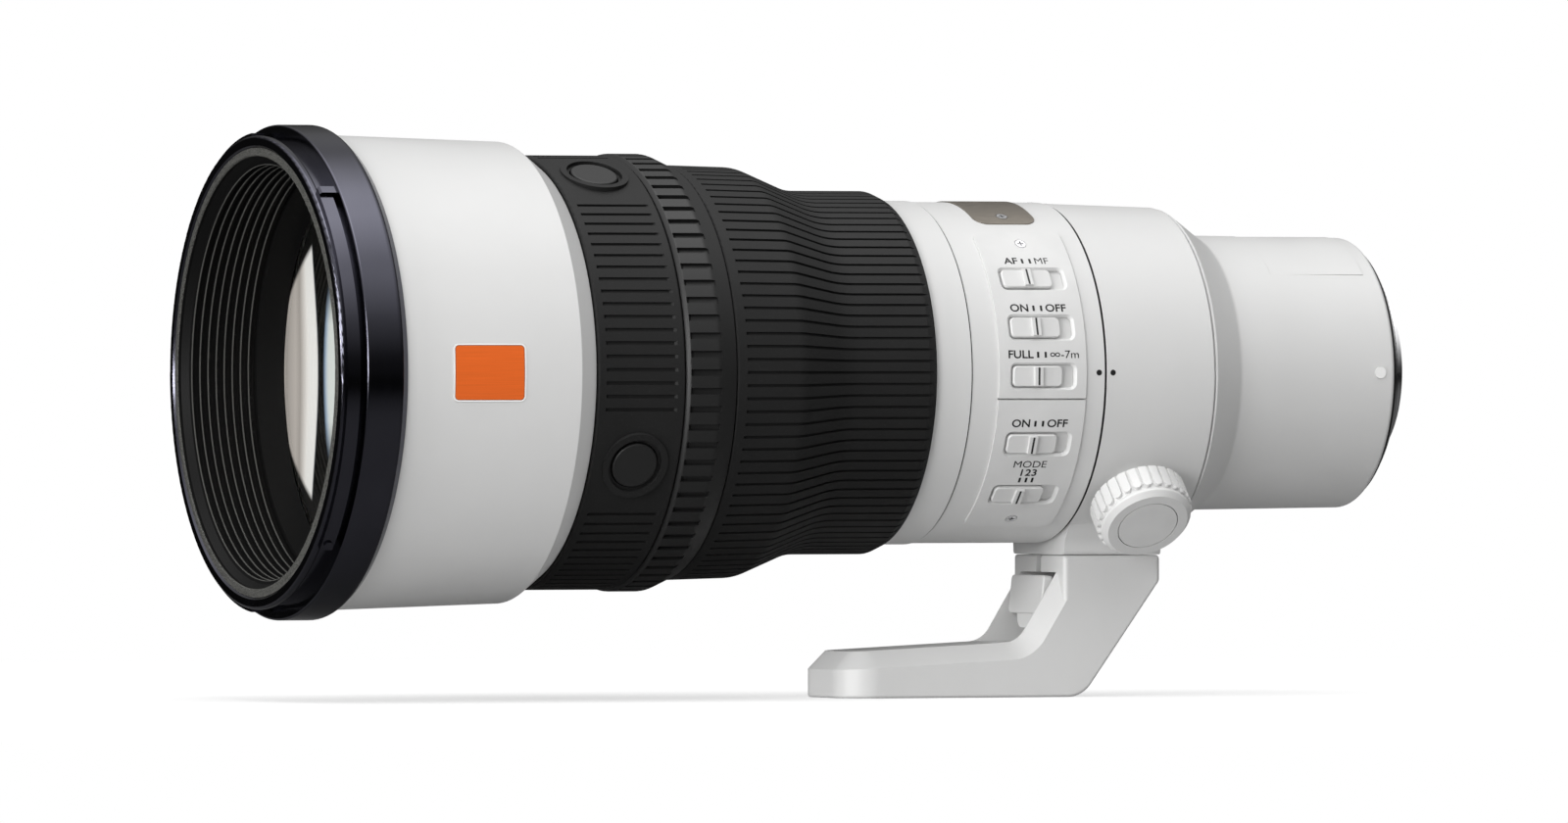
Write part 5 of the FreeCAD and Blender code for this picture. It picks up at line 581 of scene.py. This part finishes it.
def nothing_selected():
    """Leaves edit mode with nothing selected."""
    if bpy.context.mode != "OBJECT":
        bpy.ops.object.mode_set(mode="OBJECT")
    bpy.ops.object.select_all(action="DESELECT")


def select_only(*objects):
    """Selects objects and nothing else, the first one active."""
    nothing_selected()
    for obj in objects:
        obj.select_set(True)
    bpy.context.view_layer.objects.active = objects[0]


def active():
    """The object that the last operator added or left active."""
    return bpy.context.view_layer.objects.active


def settle(obj, name, finish, body):
    """Brings an object's place into its mesh, names it, gives it its finish and lets it ride on a body."""
    select_only(obj)
    bpy.ops.object.transform_apply(location=True, rotation=True, scale=True)
    obj.name = name
    obj.data.name = name
    obj.data.materials.clear()
    obj.data.materials.append(finish.material)
    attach(obj, body)


def on_barrel(back, angle):
    """Place and turn of a flat mark whose x runs along the axis and whose z points away from it."""
    side, up = -PANEL_RADIUS * math.cos(angle), PANEL_RADIUS * math.sin(angle)
    return Vector((FRONT_RIM + back, side, AXIS_HEIGHT + up)), Euler((math.pi / 2 - angle, 0.0, 0.0))


def press_onto(obj, target):
    """Presses a flat mark onto a CAD node, along the mark's own z."""
    select_only(obj)
    wrap = obj.modifiers.new("press", "SHRINKWRAP")
    wrap.target = NODES[target]
    wrap.wrap_method = "PROJECT"
    wrap.use_project_z = True
    wrap.use_negative_direction = True
    wrap.use_positive_direction = True
    bpy.ops.object.modifier_apply(modifier=wrap.name)


def thicken(obj, thickness):
    """Gives a flat mark its thickness, outwards."""
    select_only(obj)
    solid = obj.modifiers.new("thickness", "SOLIDIFY")
    solid.thickness = thickness
    solid.offset = 1.0
    bpy.ops.object.modifier_apply(modifier=solid.name)


def joined(objects):
    """Joins objects into one."""
    select_only(*objects)
    bpy.ops.object.join()
    return active()


def written(text, back, angle, height, target, align="CENTER"):
    """A printed word on a plate, its middle, left or right end at back."""
    nothing_selected()
    place, turn = on_barrel(back, angle)
    bpy.ops.object.text_add(location=place, rotation=turn)
    obj = active()
    obj.data.body = text
    obj.data.align_x = align
    obj.data.align_y = "CENTER"
    obj.data.size = height * LETTER_SIZE_FACTOR
    obj.data.offset = 0.0 if any(letter in FINE_LETTERS for letter in text) else LETTER_BOLDNESS * height
    obj.data.resolution_u = 4
    bpy.ops.object.convert(target="MESH")
    obj = active()
    obj.scale.x = LETTER_WIDTH_FACTOR
    press_onto(obj, target)
    return obj


def tick(back, angle, width, length, target):
    """A printed tick that stands across the axis."""
    nothing_selected()
    place, turn = on_barrel(back, angle)
    bpy.ops.mesh.primitive_plane_add(size=1.0, location=place, rotation=turn)
    obj = active()
    obj.scale = (width, length, 1.0)
    press_onto(obj, target)
    return obj


class LENS_OT_white_enamel(Operator):
    """Paints the metal castings"""

    bl_idname = "lens.white_enamel"
    bl_label = "White castings"

    def execute(self, context):
        colours = context.scene.lens_colours
        white_enamel("white_enamel", colours.white, 0.42, 0.01 * MM).dress_slot("white_paint")
        white_enamel("white_shell_enamel", colours.white, 0.40, 0.006 * MM).dress_slot("white_shell")
        return {"FINISHED"}


class LENS_OT_white_plastic(Operator):
    """Finishes the plates, switch knobs, lock knob and index bead"""

    bl_idname = "lens.white_plastic"
    bl_label = "White plastic"

    def execute(self, context):
        colours = context.scene.lens_colours
        moulded_plastic("white_plastic", colours.plastic_white, 0.42).dress_slot("white_plastic")
        moulded_plastic("bead_white", (0.93, 0.93, 0.92), 0.3).dress("mount_index_bead")
        return {"FINISHED"}


class LENS_OT_black_front(Operator):
    """Finishes the black front ring and the ribbed baffle"""

    bl_idname = "lens.black_front"
    bl_label = "Black front"

    def execute(self, context):
        colours = context.scene.lens_colours
        sizes = context.scene.lens_sizes
        anodised("black_anodised", colours.black_metal, 0.18, 1.0).dress_slot("front_black")
        baffle_black(sizes.crest_radius, sizes.rib_end).dress_slot("baffle_black")
        return {"FINISHED"}


class LENS_OT_glass(Operator):
    """Coats the glass"""

    bl_idname = "lens.glass"
    bl_label = "Glass"

    def execute(self, context):
        coated_glass("lens_glass").dress_slot("lens_glass")
        front_glass(context.scene.lens_sizes.glass_radius).dress("front_element")
        return {"FINISHED"}


class LENS_OT_rubber(Operator):
    """Finishes the rubber grips, the rings and the hold buttons"""

    bl_idname = "lens.rubber"
    bl_label = "Rubber grips and black plastic"

    def execute(self, context):
        colours = context.scene.lens_colours
        rubber("black_rubber", colours.rubber).dress_slot("black_rubber")
        moulded_plastic("black_plastic", tinted(colours.rubber, 0.95), 0.5).dress_slot("black_plastic")
        return {"FINISHED"}


class LENS_OT_plates(Operator):
    """Finishes the orange plate and the bronze plate"""

    bl_idname = "lens.plates"
    bl_label = "Metal plates"

    def execute(self, context):
        colours = context.scene.lens_colours
        sizes = context.scene.lens_sizes
        orange = bordered_plate(
            "orange_plate", colours.orange, "badge_plate", sizes.border_width, sizes.border_corner
        )
        orange.dress_slot("orange_plate")
        brushed_metal("bronze_plate", colours.bronze, 0.38, 300.0, 60.0, 0.8).dress_slot("bronze_plate")
        return {"FINISHED"}


class LENS_OT_metals(Operator):
    """Finishes screws, bayonet, tubes, contacts and magnets"""

    bl_idname = "lens.metals"
    bl_label = "Bare metals"

    def execute(self, context):
        brushed_metal("steel", (0.62, 0.62, 0.63), 0.32, 900.0, 40.0).dress_slot("steel")
        brushed_metal("chrome", (0.74, 0.74, 0.75), 0.2, 1800.0, 3.0).dress_slot("chrome")
        brushed_metal("gold", (0.86, 0.62, 0.25), 0.25, 300.0, 300.0).dress_slot("gold")
        brushed_metal("magnet", (0.45, 0.45, 0.47), 0.3, 500.0, 60.0).dress_slot("magnet")
        black = anodised("black_metal", (0.03, 0.03, 0.032), 0.4)
        black.dress_slot("black_metal")
        black.dress("main_tube")
        return {"FINISHED"}


class LENS_OT_inner_units(Operator):
    """Finishes the units and the circuit board inside"""

    bl_idname = "lens.inner_units"
    bl_label = "Inner units"

    def execute(self, context):
        anodised("unit_black", (0.035, 0.035, 0.035), 0.5, 0.2).dress_slot("unit_black")
        moulded_plastic("board_green", (0.03, 0.13, 0.05), 0.4).dress_slot("board_green")
        return {"FINISHED"}


class LENS_OT_panel_print(Operator):
    """Prints the switch names and ticks on the two plates"""

    bl_idname = "lens.panel_print"
    bl_label = "Switch lettering"

    def execute(self, context):
        sizes = context.scene.lens_sizes
        ink = moulded_plastic("print_black", context.scene.lens_colours.print_black, 0.5)
        height, width, length = sizes.letter_height, sizes.tick_width, sizes.tick_length
        for plate, rows in SWITCH_ROWS.items():
            marks = []
            for degrees, left, right in rows:
                angle = math.radians(degrees)
                marks.append(written(left, LEFT_WORD_END, angle, height, plate, "RIGHT"))
                marks.append(written(right, RIGHT_WORD_START, angle, height, plate, "LEFT"))
                for back in ROW_TICKS:
                    marks.append(tick(back, angle, width, length, plate))
            if plate == "lower_switch_plate":
                marks.append(written(MODE_WORD, MODE_WORD_BACK, MODE_WORD_ANGLE, height, plate))
                for number, back in enumerate(MODE_NUMBERS, 1):
                    marks.append(written(str(number), back, MODE_NUMBER_ANGLE, height, plate))
                    marks.append(tick(back, MODE_TICK_ANGLE, width, length, plate))
            print_obj = joined(marks)
            thicken(print_obj, sizes.ink_thickness)
            settle(print_obj, plate + "_print", ink, BODY_OF_NODE[plate])
        return {"FINISHED"}


class LENS_OT_knob_lines(Operator):
    """Draws the dark line across the ridge of each switch knob"""

    bl_idname = "lens.knob_lines"
    bl_label = "Knob lines"

    def execute(self, context):
        sizes = context.scene.lens_sizes
        ink = moulded_plastic("knob_line_black", (0.02, 0.02, 0.02), 0.45)
        for switch in [node for node in NODES if node.endswith("_switch")]:
            back = middle(switch).x - FRONT_RIM
            line = tick(back, angle_of(switch), sizes.line_width, sizes.line_length, switch)
            thicken(line, sizes.ink_thickness)
            settle(line, switch + "_line", ink, switch)
        return {"FINISHED"}


class LENS_OT_index_dots(Operator):
    """Sets the dark dots on both sides of the collar's seam"""

    bl_idname = "lens.index_dots"
    bl_label = "Collar dots"

    def execute(self, context):
        sizes = context.scene.lens_sizes
        ink = moulded_plastic("dot_black", (0.015, 0.015, 0.015), 0.4)
        for node, back in DOTS.items():
            dots = []
            for degrees in DOT_ANGLES:
                nothing_selected()
                place, turn = on_barrel(back, math.radians(degrees))
                bpy.ops.mesh.primitive_circle_add(
                    vertices=sizes.dot_sides, radius=sizes.dot_radius, fill_type="NGON", location=place, rotation=turn
                )
                dot = active()
                press_onto(dot, node)
                dots.append(dot)
            marks = joined(dots)
            thicken(marks, sizes.ink_thickness)
            settle(marks, node + "_dots", ink, BODY_OF_NODE[node])
        return {"FINISHED"}


class LENS_OT_studio(Operator):
    """Sets the floor, the white room, the lamps and the camera"""

    bl_idname = "lens.studio"
    bl_label = "Studio"

    def execute(self, context):
        studio = context.scene.lens_studio
        self.lay_floor(studio)
        self.light_room(context, studio)
        for name, (place, size) in LAMPS.items():
            self.hang_lamp(name + "_lamp", place, size, getattr(studio, name + "_power"))
        self.place_camera(context, studio)
        context.scene.view_settings.view_transform = "Standard"
        return {"FINISHED"}

    def lay_floor(self, studio):
        """A pale floor that keeps the lens's shadow and fades to plain white around it.

        Light of its own lifts the bare floor to plain white for the camera, so only the shadow is left. For the
        lens's gloss the floor is darker, and under the camera end its colour is darker, painted shade that gives back
        less light there.
        """
        nothing_selected()
        bpy.ops.mesh.primitive_circle_add(vertices=96, radius=studio.floor_radius, fill_type="NGON")
        floor = active()
        floor.name = "floor"
        finish = Finish("studio_floor", (studio.floor_shade,) * 3, 0.9, specular_ior_level=0.0)
        distance = finish.add("ShaderNodeVectorMath", {"operation": "LENGTH"}, {0: finish.place()}, "Value")
        plain = finish.ramp(distance, (0.25, 0.0), (0.6, 1.0))
        # A ramp runs from 0 to 1, so the place along the lens is counted from half a metre ahead of the socket
        along = finish.add("ShaderNodeSeparateXYZ", {}, {0: finish.place()}, "X") + 0.5
        # Painted shade: the floor's colour is darker under the camera end, standing in for weaker light there.
        shade = studio.floor_shade - finish.ramp(along, (0.4, 0.0), (0.65, 1.0)) * studio.floor_fall
        finish.varies("Base Color", finish.mix(shade, (0.0, 0.0, 0.0), (1.0, 1.0, 1.0)))
        seen = finish.seen()
        white = finish.add("ShaderNodeEmission", {}, {"Color": WHITE, "Strength": seen})
        lift = finish.add("ShaderNodeEmission", {}, {"Color": WHITE, "Strength": seen * (1.0 - shade * FLOOR_LIGHT)})
        dark = finish.add("ShaderNodeBsdfDiffuse", {}, {"Color": (0.0, 0.0, 0.0, 1.0)})
        gloss = finish.add("ShaderNodeLightPath", {}, {}, "Is Glossy Ray") * studio.gloss_fall
        matte = finish.add("ShaderNodeMixShader", {}, {0: gloss, 1: Value(finish, finish.shader.outputs[0]), 2: dark})
        shaded = finish.add("ShaderNodeAddShader", {}, {0: matte, 1: lift})
        both = finish.add("ShaderNodeMixShader", {}, {0: plain, 1: shaded, 2: white})
        finish.plug(finish.output.inputs["Surface"], both)
        floor.data.materials.append(finish.material)

    def light_room(self, context, studio):
        """A dome that is bright overhead and darker behind the lens, but plain white where it is seen itself."""
        world = bpy.data.worlds.new("white_room")
        world.use_nodes = True
        context.scene.world = world
        room = Network(world.node_tree)
        sky = room.add("ShaderNodeSeparateXYZ", {}, {0: room.add("ShaderNodeTexCoord", {}, {}, "Generated")}, "Z")
        behind = sky.output("X") * math.sin(studio.view_turn) + sky.output("Y") * math.cos(studio.view_turn)
        fall = 1.0 - room.ramp(behind, (0.15, 0.0), (0.6, 1.0)) * studio.back_fall
        crown = room.ramp(sky, (0.75, 0.0), (0.97, 1.0)) * room.add("ShaderNodeLightPath", {}, {}, "Is Glossy Ray")
        gloss = crown * studio.gloss_rise + 1.0
        dome = room.ramp(sky, (0.12, 0.03), (0.4, 0.32), (0.68, 1.0)) * fall * gloss * studio.world_strength
        seen = room.seen()
        background = world.node_tree.nodes["Background"]
        background.inputs["Color"].default_value = WHITE
        room.plug(background.inputs["Strength"], dome + seen * (1.0 - dome))

    def hang_lamp(self, name, place, size, power):
        """A large square lamp that faces the lens."""
        bpy.ops.object.light_add(type="AREA", location=place)
        lamp = active()
        lamp.name = name
        lamp.data.shape = "SQUARE"
        lamp.data.size = size
        lamp.data.energy = power
        aim = Vector((0.0, 0.0, AXIS_HEIGHT)) - lamp.location
        lamp.rotation_euler = aim.to_track_quat("-Z", "Y").to_euler()

    def place_camera(self, context, studio):
        """The photograph's long view from the switch side, turned to the front."""
        turn = studio.view_turn
        ahead = Vector((math.sin(turn), math.cos(turn), 0.0))
        right = Vector((math.cos(turn), -math.sin(turn), 0.0))
        place = -studio.distance * ahead - studio.aside * right
        place.z = AXIS_HEIGHT
        bpy.ops.object.camera_add(location=place, rotation=(math.pi / 2, 0.0, -turn))
        camera = active()
        camera.data.lens = studio.focal_length
        camera.data.sensor_fit = "HORIZONTAL"
        camera.data.sensor_width = 36.0
        camera.data.shift_y = -studio.rise
        camera.data.clip_start = 0.1
        camera.data.clip_end = 20.0
        context.scene.camera = camera


OPERATORS = (
    LENS_OT_white_enamel,
    LENS_OT_white_plastic,
    LENS_OT_black_front,
    LENS_OT_glass,
    LENS_OT_rubber,
    LENS_OT_plates,
    LENS_OT_metals,
    LENS_OT_inner_units,
    LENS_OT_panel_print,
    LENS_OT_knob_lines,
    LENS_OT_index_dots,
    LENS_OT_studio,
)


class LENS_PT_pieces(Panel):
    """Lists the steps that dress the lens"""

    bl_idname = "LENS_PT_pieces"
    bl_label = "Super telephoto lens"
    bl_space_type = "VIEW_3D"
    bl_region_type = "UI"
    bl_category = "Lens"

    def draw(self, context):
        for operator in OPERATORS:
            self.layout.operator(operator.bl_idname)


CLASSES = (LensColours, LensSizes, StudioSizes, *OPERATORS, LENS_PT_pieces)


def register():
    for cls in CLASSES:
        bpy.utils.register_class(cls)
    bpy.types.Scene.lens_colours = PointerProperty(type=LensColours)
    bpy.types.Scene.lens_sizes = PointerProperty(type=LensSizes)
    bpy.types.Scene.lens_studio = PointerProperty(type=StudioSizes)


def unregister():
    del bpy.types.Scene.lens_studio
    del bpy.types.Scene.lens_sizes
    del bpy.types.Scene.lens_colours
    for cls in reversed(CLASSES):
        bpy.utils.unregister_class(cls)


def main():
    """Dresses the lens."""
    register()
    for operator in OPERATORS:
        group, step = operator.bl_idname.split(".")
        getattr(getattr(bpy.ops, group), step)()


if __name__ == "__main__":
    main()
